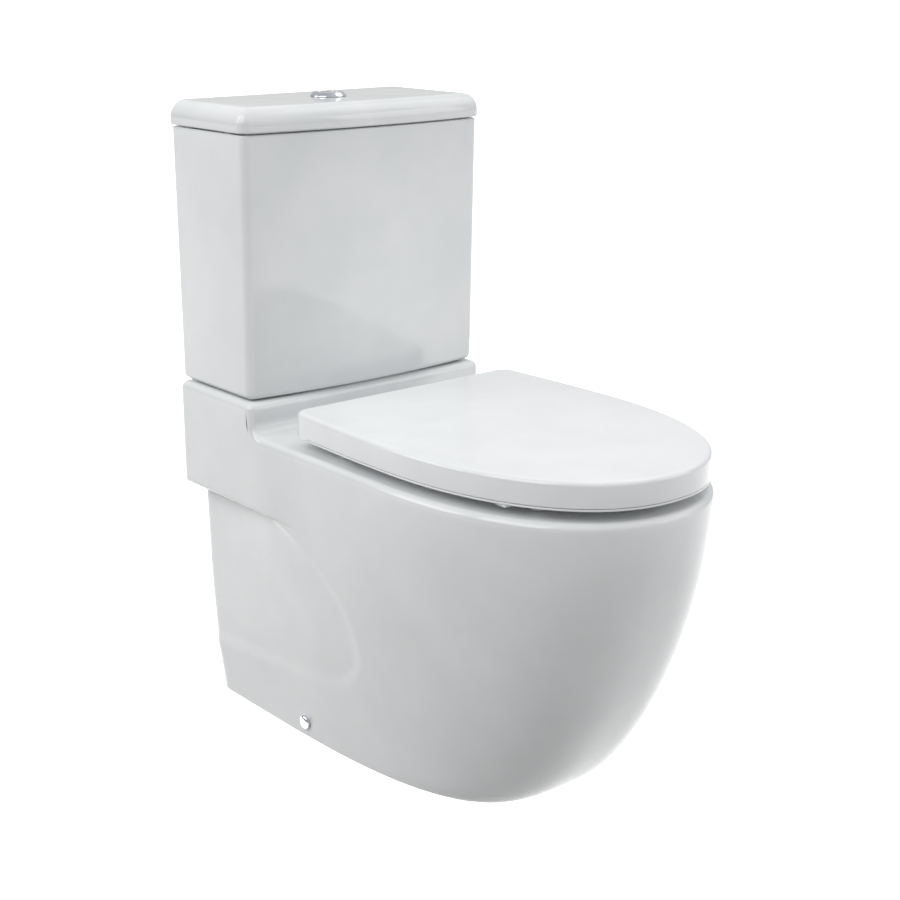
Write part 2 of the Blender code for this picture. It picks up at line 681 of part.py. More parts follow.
def pan_holes():
    """Holes for the coupling bolts, the seat studs, the foot screws and the fill valve's nut."""
    holes = []
    for side, sign in SIDES:
        bolt = wall_point(sign * BOLT_SPACING / 2, VALVE_REACH, SHELF_HEIGHT)
        holes.append(bolt_hole(f"coupling_hole_{side}", BOLT_RADIUS, bolt, 2 * SHELF_THICKNESS))
        stud = wall_point(sign * SEAT_FIXING_SPACING / 2, HINGE_REACH, RIM_HEIGHT)
        holes.append(bolt_hole(f"seat_hole_{side}", BOLT_RADIUS, stud, 1.5 * RIM_THICKNESS))
        foot = wall_point(sign * FOOT_HALF_WIDTH, SCREW_REACH, SCREW_HEIGHT)
        holes.append(disc(f"screw_hole_{side}", SCREW_RADIUS + RUNNING_GAP, -2 * PAN_WALL, 2 * PAN_WALL,
                          foot, axis="X", segments=12))
    inlet = wall_point(FILL_VALVE_X, VALVE_REACH, SHELF_HEIGHT)
    nut_way = FILL_SHANK_RADIUS + BACKNUT_WALL + 2 * RUNNING_GAP
    holes.append(disc("inlet_hole", nut_way, -2 * SHELF_THICKNESS, 2 * SHELF_THICKNESS, inlet))
    return holes


def make_pan():
    pan = pan_outer()
    join(pan, *pan_shelf())
    cut(pan, *pan_hollow())
    join(pan, bowl_shell(), tube("trap_shell", trap_path(), OUTLET_RADIUS), *flush_way_forms())
    cut(pan, bowl_space(), tube("trap_space", trap_path(), TRAP_BORE, extend=0.010))
    cut(pan, *flush_way_bores())
    cut(pan, *pan_holes())


# Cistern and lid


def cistern_outline(half_width, reach, front_corner, z, inset):
    """A rectangle with rounded corners whose front bows outwards, inset by an even wall."""
    half_width -= inset
    reach -= inset
    front_corner = max(front_corner - inset, 0.003)
    rear_corner = max(CISTERN_REAR_CORNER - inset, 0.002)
    right = [(half_width - rear_corner * (1 - math.sin(a)), inset + rear_corner * (1 - math.cos(a)))
             for a in quarter(2)]
    right += [(half_width - front_corner * (1 - math.cos(a)), reach - front_corner * (1 - math.sin(a)))
              for a in quarter(3)]
    start = half_width - front_corner
    right += [(start * (1 - share), reach + CISTERN_BOW * (1 - (1 - share) ** 2))
              for share in (0.25, 0.5, 0.75, 1.0)]
    left = [(-x, at) for x, at in reversed(right[:-1])]
    return [wall_point(x, at, z) for x, at in reversed(right + left)]


def cistern_level(z, inset=0.0, ring_z=None):
    """The cistern's outline for height z, which tapers a little towards its base, drawn at ring_z."""
    down = (CISTERN_TOP - z) / CISTERN_HEIGHT
    return cistern_outline(CISTERN_HALF_WIDTH - CISTERN_TAPER_SIDE * down,
                           CISTERN_REACH - CISTERN_TAPER_FRONT * down,
                           CISTERN_FRONT_CORNER, z if ring_z is None else ring_z, inset)


def make_cistern():
    rings = []
    for angle in quarter(3):
        height = CISTERN_BASE + CISTERN_EDGE_RADIUS * (1 - math.cos(angle))
        rings.append(cistern_level(height, CISTERN_EDGE_RADIUS * (1 - math.sin(angle))))
    rings += [cistern_level(CISTERN_TOP), cistern_level(CISTERN_TOP, CISTERN_WALL)]
    rings.append(cistern_level(CISTERN_INNER_FLOOR, CISTERN_WALL))
    cistern = loft("cistern", rings, CERAMIC)
    depth = 2 * CISTERN_FLOOR
    holes = [("outlet_hole", VALVE_TAIL_RADIUS, 0.0, 20)]
    holes += [("shank_hole", FILL_SHANK_RADIUS, FILL_VALVE_X, 20)]
    holes += [(f"bolt_hole_{side}", BOLT_RADIUS, sign * BOLT_SPACING / 2, 12) for side, sign in SIDES]
    for name, radius, x, segments in holes:
        centre = wall_point(x, VALVE_REACH, CISTERN_BASE)
        cut(cistern, disc(name, radius + BOLT_CLEARANCE, -depth, depth, centre, segments=segments))


def lid_outline(z, inset=0.0):
    return cistern_outline(CISTERN_HALF_WIDTH + LID_OVERHANG, CISTERN_REACH + LID_OVERHANG,
                           CISTERN_FRONT_CORNER + LID_OVERHANG, z, inset)


def make_lid():
    """A hollow lid whose rib drops inside the cistern's wall, with a hole for the button."""
    side_top = LID_TOP - LID_EDGE_DROP
    rib = CISTERN_WALL + LID_RIB_GAP
    pocket = rib + LID_RIB_WALL
    rib_end = CISTERN_TOP - LID_RIB_DEPTH
    rings = [cistern_level(CISTERN_TOP, pocket, LID_CEILING), cistern_level(CISTERN_TOP, pocket, rib_end),
             cistern_level(CISTERN_TOP, rib, rib_end), cistern_level(CISTERN_TOP, rib, LID_BASE),
             lid_outline(LID_BASE, LID_ARRIS), lid_outline(LID_BASE + LID_ARRIS), lid_outline(side_top)]
    for angle in quarter(4, first=1):
        rings.append(lid_outline(side_top + LID_EDGE_DROP * math.sin(angle),
                                 LID_EDGE_RADIUS * (1 - math.cos(angle))))
    lid = loft("cistern_lid", rings, CERAMIC)
    centre = wall_point(0.0, VALVE_REACH, LID_CEILING)
    cut(lid, disc("button_hole", SLEEVE_OUTER + RUNNING_GAP, -0.02, 2 * LID_TOP_THICKNESS, centre))


def make_pads():
    """Foam strips under the cistern and elastomer bumpers under the lid."""
    for side, sign in SIDES:
        far = CISTERN_HALF_WIDTH - PAD_INSET
        block(f"cistern_pad_{side}",
              wall_point(sign * (far - PAD_WIDTH), PAD_REAR_REACH, SHELF_HEIGHT + TOUCH),
              wall_point(sign * far, CISTERN_REACH - PAD_FRONT_MARGIN, CISTERN_BASE - TOUCH), FOAM)
        outer = CISTERN_HALF_WIDTH - BUMPER_INSET
        for place, reach in (("rear", PAD_REAR_REACH), ("front", CISTERN_REACH - 1.3 * PAD_FRONT_MARGIN)):
            block(f"lid_bumper_{place}_{side}",
                  wall_point(sign * (outer - BUMPER_WIDTH), reach, CISTERN_TOP + TOUCH),
                  wall_point(sign * outer, reach + BUMPER_LENGTH, LID_BASE - TOUCH), SOFT_WHITE)


# Flush button


def make_bezel():
    """The chrome ring that holds the buttons, its threaded sleeve and the nut under the lid."""
    seat = LID_TOP + TOUCH
    crown = LID_TOP + BEZEL_HEIGHT
    flange = SLEEVE_INNER - RUNNING_GAP + BEZEL_FLANGE
    profile = [(SLEEVE_OUTER, seat), (flange, seat), (flange - BEZEL_ARRIS, seat + BEZEL_RIM),
               (SLEEVE_OUTER, crown - BEZEL_ARRIS / 2), (SLEEVE_OUTER - BEZEL_WALL / 2, crown),
               (SLEEVE_INNER, crown - BEZEL_ARRIS / 2), (SLEEVE_INNER, seat - BEZEL_SLEEVE),
               (SLEEVE_OUTER, seat - BEZEL_SLEEVE)]
    centre = wall_point(0.0, VALVE_REACH, 0.0)
    turned("button_bezel", profile, centre, CHROME, segments=28)
    ring("button_nut", SLEEVE_OUTER + TOUCH, SLEEVE_OUTER + BUTTON_NUT_WALL,
         LID_CEILING - TOUCH - BUTTON_NUT_HEIGHT, LID_CEILING - TOUCH, centre, WHITE_PLASTIC, segments=28)


def half_disc(name, radius, split, sign, low, high, look, steps=10):
    """A disc cut off along a straight split, on the side of sign, with a softened top edge."""
    reach = math.acos(split * sign / radius)
    angles = [-reach + 2 * reach * i / steps for i in range(steps + 1)]
    outline = [(sign * radius * math.cos(angle), radius * math.sin(angle)) for angle in angles]
    middle = sum(x for x, _ in outline) / len(outline)
    shrink = 1 - BUTTON_ARRIS / radius
    top = [(middle + (x - middle) * shrink, y * shrink) for x, y in outline]
    rings = [[wall_point(x, VALVE_REACH + y, z) for x, y in points]
             for points, z in ((outline, low), (outline, high - BUTTON_ARRIS), (top, high))]
    return loft(name, rings, look)


def make_buttons():
    rod_low = CAGE_TOP + BUTTON_TRAVEL + 2 * RUNNING_GAP
    for name, sign in (("full", -1), ("half", 1)):
        split = BUTTON_SPLIT + sign * BUTTON_GAP
        half_disc(f"button_{name}", BUTTON_RADIUS, split, sign, BUTTON_FLOOR,
                  BUTTON_FLOOR + BUTTON_THICKNESS, CHROME)
        centre = wall_point(sign * ROD_OFFSET, VALVE_REACH, 0.0)
        disc(f"push_rod_{name}", ROD_RADIUS, rod_low, BUTTON_FLOOR - TOUCH, centre, WHITE_PLASTIC,
             segments=12)


# Flush valve


def make_flush_valve():
    """The valve's base clamped through the cistern floor, its washer, nut and coupling gasket."""
    centre = wall_point(0.0, VALVE_REACH, 0.0)
    flange_radius = VALVE_TAIL_RADIUS + VALVE_FLANGE_WIDTH
    flange_top = FLANGE_HEIGHT + VALVE_FLANGE_THICKNESS
    lip = flange_top + VALVE_LIP_HEIGHT
    ring("valve_washer", VALVE_TAIL_RADIUS + TOUCH, flange_radius - WASHER_THICKNESS,
         CISTERN_INNER_FLOOR + TOUCH, FLANGE_HEIGHT - TOUCH, centre, RUBBER)
    tail_end = GASKET_BOTTOM + 0.001
    profile = [(VALVE_TAIL_RADIUS, tail_end), (VALVE_TAIL_RADIUS, FLANGE_HEIGHT),
               (flange_radius, FLANGE_HEIGHT), (flange_radius, flange_top),
               (VALVE_BORE + VALVE_LIP_WIDTH + 0.001, flange_top), (VALVE_BORE + VALVE_LIP_WIDTH, lip),
               (VALVE_BORE, lip), (VALVE_BORE, tail_end)]
    turned("flush_valve_base", profile, centre, WHITE_PLASTIC)
    ring("valve_backnut", VALVE_TAIL_RADIUS + TOUCH, GASKET_OUTER - WASHER_THICKNESS, GASKET_TOP + TOUCH,
         CISTERN_BASE - TOUCH, centre, WHITE_PLASTIC)
    ring("coupling_gasket", VALVE_TAIL_RADIUS + TOUCH, GASKET_OUTER, GASKET_BOTTOM, GASKET_TOP, centre,
         RUBBER)
    make_flush_core(lip + TOUCH)
    make_valve_cage(flange_top + TOUCH)


def make_flush_core(seal_low):
    """The sealing washer and the overflow tube that lifts it, whose collar rests on the washer."""
    centre = wall_point(0.0, VALVE_REACH, 0.0)
    seal_top = seal_low + SEAL_THICKNESS
    ring("valve_seal", OVERFLOW_RADIUS + TOUCH, VALVE_BORE + SEAL_OVERLAP, seal_low, seal_top, centre,
         RUBBER)
    collar = seal_top + TOUCH
    collar_top = collar + WASHER_THICKNESS
    inner = OVERFLOW_RADIUS - OVERFLOW_WALL
    profile = [(OVERFLOW_RADIUS, seal_low), (OVERFLOW_RADIUS, collar),
               (OVERFLOW_RADIUS + OVERFLOW_COLLAR, collar), (OVERFLOW_RADIUS + OVERFLOW_COLLAR, collar_top),
               (OVERFLOW_RADIUS, collar_top), (OVERFLOW_RADIUS, OVERFLOW_TOP), (inner, OVERFLOW_TOP),
               (inner, seal_low)]
    turned("overflow_tube", profile, centre, BLUE_PLASTIC, segments=16)


def make_valve_cage(low):
    """The cage round the overflow tube: a foot ring, four legs and a capped drum."""
    centre = wall_point(0.0, VALVE_REACH, 0.0)
    inner = VALVE_BORE + CAGE_CLEARANCE
    outer = inner + CAGE_WALL
    foot_inner = inner + TOUCH
    drum = low + CAGE_WINDOW
    guide = OVERFLOW_RADIUS + RUNNING_GAP
    under_top = CAGE_TOP - CAGE_TOP_THICKNESS
    profile = [(outer, drum), (outer, CAGE_TOP), (guide, CAGE_TOP), (guide, under_top),
               (inner, under_top), (inner, drum)]
    cage = turned("flush_valve_cage", profile, centre, GREY_PLASTIC)
    foot_outer = foot_inner + CAGE_FOOT_WIDTH
    join(cage, ring("cage_foot", foot_inner, foot_outer, low, low + CAGE_FOOT_HEIGHT, centre))
    for k in range(4):
        leg = block(f"cage_leg_{k}", (foot_inner - RUNNING_GAP, -CAGE_LEG_HALF_WIDTH, low + 0.002),
                    (outer - RUNNING_GAP, CAGE_LEG_HALF_WIDTH, drum + CAGE_FOOT_HEIGHT))
        turn = Matrix.Rotation(math.pi / 4 + k * math.pi / 2, 4, "Z")
        leg.matrix_world = Matrix.Translation(Vector(centre)) @ turn
        join(cage, leg)


# Fill valve


def make_fill_valve():
    """The fill valve's body through the cistern floor, its washer, nut, float, lever and rod."""
    centre = wall_point(FILL_VALVE_X, VALVE_REACH, 0.0)
    shank = FILL_SHANK_RADIUS
    flange_radius = shank + FILL_FLANGE_WIDTH
    flange_top = FLANGE_HEIGHT + FILL_FLANGE_THICKNESS
    ring("fill_valve_washer", shank + TOUCH, flange_radius, CISTERN_INNER_FLOOR + TOUCH,
         FLANGE_HEIGHT - TOUCH, centre, RUBBER)
    shank_end = SHELF_BOTTOM - FILL_SHANK_BELOW_SHELF
    head_radius = FILL_COLUMN_RADIUS + FILL_HEAD_WIDTH
    head_top = FILL_HEAD + FILL_HEAD_HEIGHT
    profile = [(shank, shank_end), (shank, FLANGE_HEIGHT), (flange_radius, FLANGE_HEIGHT),
               (flange_radius, flange_top), (FILL_COLUMN_RADIUS, flange_top + 0.002),
               (FILL_COLUMN_RADIUS, FILL_HEAD), (head_radius, FILL_HEAD + 0.002), (head_radius, head_top),
               (FILL_BORE, head_top), (FILL_BORE, shank_end)]
    body = turned("fill_valve_body", profile, centre, WHITE_PLASTIC)
    add_lever_ears(body, head_top)
    ring("fill_valve_backnut", shank + TOUCH, shank + BACKNUT_WALL, CISTERN_BASE - TOUCH - BACKNUT_HEIGHT,
         CISTERN_BASE - TOUCH, centre, WHITE_PLASTIC)
    ring("fill_valve_float", FILL_COLUMN_RADIUS + FLOAT_BORE_CLEARANCE, FLOAT_RADIUS, FLOAT_BASE,
         FLOAT_BASE + FLOAT_HEIGHT, centre, GREY_PLASTIC)
    make_lever()


def add_lever_ears(body, head_top):
    """Two ears on the valve's head, each with a bore for the lever's pivot."""
    near = LEVER_HALF_WIDTH + EAR_GAP
    for place, start in (("front", near), ("rear", -near - EAR_THICKNESS)):
        ear = block(f"fill_ear_{place}",
                    wall_point(LEVER_X - EAR_HALF_WIDTH, VALVE_REACH + start, head_top - 0.002),
                    wall_point(LEVER_X + EAR_HALF_WIDTH, VALVE_REACH + start + EAR_THICKNESS,
                               LEVER_Z + EAR_HALF_WIDTH))
        join(body, ear)
        middle = wall_point(LEVER_X, VALVE_REACH + start + EAR_THICKNESS / 2, LEVER_Z)
        bore = disc(f"lever_bore_{place}", LEVER_PIN_RADIUS + TOUCH, -EAR_THICKNESS, EAR_THICKNESS,
                    middle, axis="Y", segments=12)
        cut(body, bore)


def make_lever():
    """The arm that the float lifts, with its pivot, and the rod between the float and the arm."""
    tip_x = LEVER_X - LEVER_LENGTH
    low, high = LEVER_Z - LEVER_HALF_THICKNESS, LEVER_Z + LEVER_HALF_THICKNESS
    arm = block("fill_valve_lever", wall_point(tip_x - EAR_HALF_WIDTH, VALVE_REACH - LEVER_HALF_WIDTH, low),
                wall_point(LEVER_X + 0.003, VALVE_REACH + LEVER_HALF_WIDTH, high), WHITE_PLASTIC)
    pin_half = LEVER_HALF_WIDTH + EAR_GAP + EAR_THICKNESS + EAR_GAP
    join(arm, disc("lever_pivot", LEVER_PIN_RADIUS, -pin_half, pin_half,
                   wall_point(LEVER_X, VALVE_REACH, LEVER_Z), axis="Y", segments=12))
    rod_top = LEVER_Z - LEVER_HALF_THICKNESS - 2 * RUNNING_GAP
    disc("float_rod", LEVER_PIN_RADIUS, FLOAT_BASE + FLOAT_HEIGHT + TOUCH, rod_top,
         wall_point(tip_x, VALVE_REACH, 0.0), BRASS, segments=10)


# Fixings


def wing_nut(name, centre, high, look):
    """A nut with two wings whose top face is at height high."""
    nut = ring(name, BOLT_RADIUS + TOUCH, BOLT_RADIUS + TOUCH + NUT_WALL, high - WING_NUT_HEIGHT, high,
               centre, look, segments=12)
    inner = BOLT_RADIUS + NUT_WALL / 2
    for side, sign in SIDES:
        root = (centre[0] + sign * inner, centre[1] - WING_HALF_THICKNESS, high - WING_NUT_HEIGHT + 0.001)
        tip = (centre[0] + sign * WING_SPAN, centre[1] + WING_HALF_THICKNESS, high - 0.001)
        join(nut, block(f"{name}_wing_{side}", root, tip))


def make_coupling_bolts():
    """The two bolts that hold the cistern to the shelf, each with a cone washer and a wing nut."""
    low = SHELF_BOTTOM - BOLT_LENGTH_BELOW
    washer = CISTERN_INNER_FLOOR + TOUCH
    head = washer + CONE_WASHER_HEIGHT + TOUCH
    head_radius = BOLT_RADIUS + BOLT_HEAD_WIDTH
    profile = [(0.0, low), (BOLT_RADIUS, low), (BOLT_RADIUS, head), (head_radius, head),
               (head_radius, head + 0.6 * BOLT_HEAD_HEIGHT), (BOLT_RADIUS + 0.002, head + BOLT_HEAD_HEIGHT),
               (0.0, head + BOLT_HEAD_HEIGHT)]
    for side, sign in SIDES:
        centre = wall_point(sign * BOLT_SPACING / 2, VALVE_REACH, 0.0)
        ring(f"coupling_washer_{side}", BOLT_RADIUS + TOUCH, head_radius + 0.001, washer,
             washer + CONE_WASHER_HEIGHT, centre, RUBBER, segments=16)
        turned(f"coupling_bolt_{side}", profile, centre, STEEL, segments=12)
        wing_nut(f"coupling_nut_{side}", centre, SHELF_BOTTOM - TOUCH, BRASS)


def pin_bore(name, x, half_length):
    """A bore on the hinge axis with a running gap round the pin."""
    return disc(name, PIN_RADIUS + TOUCH, -half_length, half_length, wall_point(x, HINGE_REACH, HINGE_Z),
                axis="X", segments=16)


def make_hinge_post(side, x):
    """A round plate on the rim with a neck up to the knuckle, bored for its pin and its stud."""
    centre = wall_point(x, HINGE_REACH, 0.0)
    half = KNUCKLE_WIDTH / 2
    post = disc(f"hinge_post_{side}", HINGE_PLATE_RADIUS, RIM_HEIGHT + TOUCH, HINGE_PLATE_TOP, centre,
                CHROME, segments=24)
    neck_half = half - RUNNING_GAP
    neck = block(f"hinge_neck_{side}",
                 wall_point(x - neck_half, HINGE_REACH - NECK_HALF_DEPTH, HINGE_PLATE_TOP - 0.001),
                 wall_point(x + neck_half, HINGE_REACH + NECK_HALF_DEPTH, HINGE_Z))
    knuckle = disc(f"hinge_knuckle_{side}", PIN_RADIUS + KNUCKLE_WALL, -half, half,
                   wall_point(x, HINGE_REACH, HINGE_Z), axis="X")
    join(post, neck, knuckle)
    stud_top = HINGE_PLATE_TOP + STUD_IN_NECK
    cut(post, pin_bore(f"pin_bore_{side}", x, KNUCKLE_WIDTH))
    cut(post, disc(f"stud_bore_{side}", BOLT_RADIUS + TOUCH, RIM_HEIGHT - 0.010, stud_top + TOUCH, centre,
                   segments=12))
    return stud_top


def make_seat_hinges():
    """For each side: a post on the rim, its pin, and the stud, washer and nut that clamp it."""
    pin_half = KNUCKLE_WIDTH / 2 + LUG_WIDTH + PIN_OVERHANG
    washer_top = RIM_UNDERSIDE - TOUCH
    washer_low = washer_top - STUD_WASHER_HEIGHT
    for side, sign in SIDES:
        x = sign * SEAT_FIXING_SPACING / 2
        centre = wall_point(x, HINGE_REACH, 0.0)
        stud_top = make_hinge_post(side, x)
        disc(f"hinge_stud_{side}", BOLT_RADIUS, RIM_UNDERSIDE - STUD_BELOW_RIM, stud_top, centre, STEEL,
             segments=12)
        ring(f"hinge_washer_{side}", BOLT_RADIUS + TOUCH, BOLT_RADIUS + 2 * NUT_WALL, washer_low, washer_top,
             centre, RUBBER, segments=16)
        wing_nut(f"hinge_nut_{side}", centre, washer_low - TOUCH, WHITE_PLASTIC)
        disc(f"hinge_pin_{side}", PIN_RADIUS, -pin_half, pin_half, wall_point(x, HINGE_REACH, HINGE_Z),
             GREY_PLASTIC, "X", 16)


def make_floor_bracket(side, sign, upright):
    """A bracket inside the foot, screwed to the floor, that takes the foot's side screw."""
    front = SCREW_REACH + BRACKET_HALF_LENGTH
    bracket = block(f"floor_bracket_{side}",
                    wall_point(sign * (upright - BRACKET_WIDTH), SCREW_REACH - BRACKET_HALF_LENGTH, 0.0),
                    wall_point(sign * upright, front, BRACKET_THICKNESS), WHITE_PLASTIC)
    join(bracket, block(f"bracket_upright_{side}",
                        wall_point(sign * (upright - UPRIGHT_THICKNESS), SCREW_REACH - UPRIGHT_HALF_LENGTH,
                                   BRACKET_THICKNESS - 0.001),
                        wall_point(sign * (upright - TOUCH), SCREW_REACH + UPRIGHT_HALF_LENGTH,
                                   UPRIGHT_TOP)))
    screw = wall_point(sign * upright, SCREW_REACH, SCREW_HEIGHT)
    cut(bracket, disc(f"bracket_bore_{side}", SCREW_RADIUS + TOUCH, -2 * UPRIGHT_THICKNESS,
                      2 * UPRIGHT_THICKNESS, screw, axis="X", segments=12))
    floor_screw = wall_point(sign * (upright - FLOOR_SCREW_INSET), SCREW_REACH, 0.0)
    cut(bracket, disc(f"bracket_floor_hole_{side}", SCREW_RADIUS + RUNNING_GAP, -2 * BRACKET_THICKNESS,
                      2 * BRACKET_THICKNESS, floor_screw, segments=12))


def make_foot_cap(side, sign, face):
    """A hollow cap over the head of the foot's side screw, its edge softened in two steps."""
    axis = wall_point(0.0, SCREW_REACH, SCREW_HEIGHT)
    profile = [(0.0, face), (CAP_RADIUS, face), (CAP_RADIUS, face + 0.45 * CAP_HEIGHT),
               (CAP_RADIUS * 0.87, face + 0.80 * CAP_HEIGHT), (CAP_RADIUS * 0.55, face + 0.95 * CAP_HEIGHT),
               (0.0, face + CAP_HEIGHT)]
    cap = turned(f"foot_cap_{side}", [(r, sign * h) for r, h in profile], axis, CHROME, "X")
    low, high = sorted((sign * (face - 0.001), sign * (face + CAP_HEIGHT - CAP_WALL)))
    cut(cap, disc(f"cap_space_{side}", CAP_RADIUS - CAP_WALL, low, high, axis, axis="X", segments=16))


def make_floor_fixings():
    """For each side: a floor bracket inside the foot, the screw through the foot and its cap."""
    upright = pan_half_width(SCREW_REACH + UPRIGHT_HALF_LENGTH, 0.0) - PAN_WALL - RUNNING_GAP
    face = pan_half_width(SCREW_REACH - CAP_RADIUS, SCREW_HEIGHT) + RUNNING_GAP
    screw_end = upright - UPRIGHT_THICKNESS + 0.002
    head = face + 0.0012
    head_top = head + SCREW_HEAD_HEIGHT
    profile = [(0.0, screw_end), (SCREW_RADIUS, screw_end), (SCREW_RADIUS, head),
               (SCREW_RADIUS + 0.003, head), (SCREW_RADIUS + 0.002, head_top), (0.0, head_top)]
    for side, sign in SIDES:
        make_floor_bracket(side, sign, upright)
        turned(f"foot_screw_{side}", [(r, sign * h) for r, h in profile],
               wall_point(0.0, SCREW_REACH, SCREW_HEIGHT), STEEL, "X", 12)
        make_foot_cap(side, sign, face)


# Seat and cover


def cover_side(reach):
    """Half width of the cover's nearly straight side, which narrows a little towards the rear."""
    back = max(0.0, (COVER_WIDEST_REACH - reach) / (COVER_WIDEST_REACH - COVER_REAR_REACH))
    return COVER_HALF_WIDTH - COVER_REAR_NARROWING * back * back


def cover_outline(z, inset=0.0, rear=COVER_REAR_REACH, corner=COVER_REAR_CORNER, curve_points=9):
    """The cover's plan: nearly straight sides, a superelliptic front and rounded rear corners."""
    rear += inset
    corner = max(corner - inset, 0.004)
    side_start = rear + corner
    rear_side = cover_side(side_start) - inset
    right = [((cover_side(rear) - inset) * share, rear) for share in (0.4, 0.8)]
    right += [(rear_side - corner * (1 - math.sin(a)), rear + corner * (1 - math.cos(a)))
              for a in quarter(3)]
    for share in (0.25, 0.5, 0.75):
        reach = side_start + (COVER_WIDEST_REACH - side_start) * share
        right.append((cover_side(reach) - inset, reach))
    length = COVER_FRONT_REACH - inset - COVER_WIDEST_REACH
    for i, angle in enumerate(quarter(curve_points)):
        share = math.cos(angle) ** (2 / COVER_SQUARENESS) if i < curve_points else 0.0
        wide = (COVER_HALF_WIDTH - inset) * share
        right.append((wide, COVER_WIDEST_REACH + length * math.sin(angle) ** (2 / COVER_SQUARENESS)))
    left = [(-x, at) for x, at in reversed(right[:-1])]
    return [wall_point(x, at, z) for x, at in reversed(right + left)]


def hinge_lug(name, x):
    """A round lug on the hinge axis."""
    return disc(name, PIN_RADIUS + LUG_WALL, -LUG_WIDTH / 2, LUG_WIDTH / 2,
                wall_point(x, HINGE_REACH, HINGE_Z), axis="X")


def make_cover():
    """A shallow tray upside down over the seat, with an inner lug at each hinge."""
    rings = [cover_outline(COVER_CEILING, COVER_WALL + COVER_FILLET),
             cover_outline(COVER_CEILING - COVER_FILLET, COVER_WALL), cover_outline(COVER_BASE, COVER_WALL),
             cover_outline(COVER_BASE, COVER_ARRIS), cover_outline(COVER_BASE + COVER_ARRIS)]
    for angle in quarter(3):
        rings.append(cover_outline(COVER_TOP - COVER_EDGE_RADIUS * (1 - math.sin(angle)),
                                   COVER_EDGE_RADIUS * (1 - math.cos(angle))))
    cover = loft("seat_cover", rings, SEAT_PLASTIC)
    half = KNUCKLE_WIDTH / 2
    for side, sign in SIDES:
        x = sign * SEAT_FIXING_SPACING / 2
        notch = block(f"cover_notch_{side}",
                      wall_point(x - half - NOTCH_MARGIN, COVER_REAR_REACH - 0.010, COVER_BASE - 0.010),
                      wall_point(x + half + NOTCH_MARGIN, COVER_REAR_REACH + COVER_WALL + 0.001,
                                 COVER_CEILING))
        cut(cover, notch)
        inboard = x - sign * (half + RUNNING_GAP + LUG_WIDTH / 2)
        arm = block(f"cover_lug_arm_{side}",
                    wall_point(inboard - LUG_WIDTH / 2, HINGE_REACH - COVER_ARM_HALF_DEPTH, HINGE_Z),
                    wall_point(inboard + LUG_WIDTH / 2, HINGE_REACH + COVER_ARM_HALF_DEPTH,
                               COVER_CEILING + 0.001))
        join(cover, arm, hinge_lug(f"cover_lug_{side}", inboard))
        cut(cover, pin_bore(f"cover_pin_bore_{side}", inboard, LUG_WIDTH * 0.7))


def seat_loop(z, inset):
    return cover_outline(z, inset, SEAT_REAR_REACH, SEAT_REAR_CORNER)


def opening_loop(z, grow):
    """The seat's opening, a point for each point of the outer outline so that the two can be skinned."""
    middle = OPENING_REAR + (OPENING_FRONT - OPENING_REAR) * 0.40
    power = OPENING_SQUARENESS
    loop = []
    for x, y, _ in seat_loop(z, 0.0):
        angle = math.atan2(x, (WALL_Y - y) - middle)
        across, along = math.sin(angle), math.cos(angle)
        length = grow + (OPENING_FRONT - middle if along > 0 else middle - OPENING_REAR)
        across_share = abs(across / (OPENING_HALF_WIDTH + grow)) ** power
        scale = (across_share + abs(along / length) ** power) ** (-1 / power)
        loop.append(wall_point(across * scale, middle + along * scale, z))
    return loop


def make_seat():
    """The seat ring: a flange flush with the cover's skirt, a raised crown that nests in it, and lugs."""
    nest = COVER_WALL + SEAT_NEST_GAP
    flange = SEAT_BASE + SEAT_FLANGE
    loops = [seat_loop(SEAT_BASE, 0.0012), seat_loop(flange, TOUCH), seat_loop(flange, nest),
             seat_loop(SEAT_TOP - 0.006, nest), seat_loop(SEAT_TOP - 0.0018, nest + 0.0022),
             seat_loop(SEAT_TOP, nest + 0.008), opening_loop(SEAT_TOP, 0.010),
             opening_loop(SEAT_TOP - 0.0025, 0.003), opening_loop(SEAT_TOP - 0.008, 0.0),
             opening_loop(SEAT_BASE + 0.002, 0.0), opening_loop(SEAT_BASE, 0.002)]
    seat = loft("seat_ring", loops, SEAT_PLASTIC, closed_loop=True)
    arm_half = LUG_WIDTH / 2 - TOUCH
    for side, sign in SIDES:
        outboard = sign * (SEAT_FIXING_SPACING / 2 + KNUCKLE_WIDTH / 2 + RUNNING_GAP + LUG_WIDTH / 2)
        arm = block(f"seat_lug_arm_{side}",
                    wall_point(outboard - arm_half, HINGE_REACH, HINGE_Z - PIN_RADIUS - 0.003),
                    wall_point(outboard + arm_half, SEAT_REAR_REACH + SEAT_FLANGE + nest,
                               SEAT_TOP - 0.003))
        join(seat, arm, hinge_lug(f"seat_lug_{side}", outboard))
        cut(seat, pin_bore(f"seat_pin_bore_{side}", outboard, LUG_WIDTH * 0.7))
    tab = block("finger_tab",
                wall_point(TAB_X - TAB_WIDTH / 2, TAB_REACH - TAB_LENGTH / 2, SEAT_BASE - TAB_DROP),
                wall_point(TAB_X + TAB_WIDTH / 2, TAB_REACH + TAB_LENGTH / 2, SEAT_BASE + 0.001),
                bevel=TAB_DROP * 0.43)
    join(seat, tab)


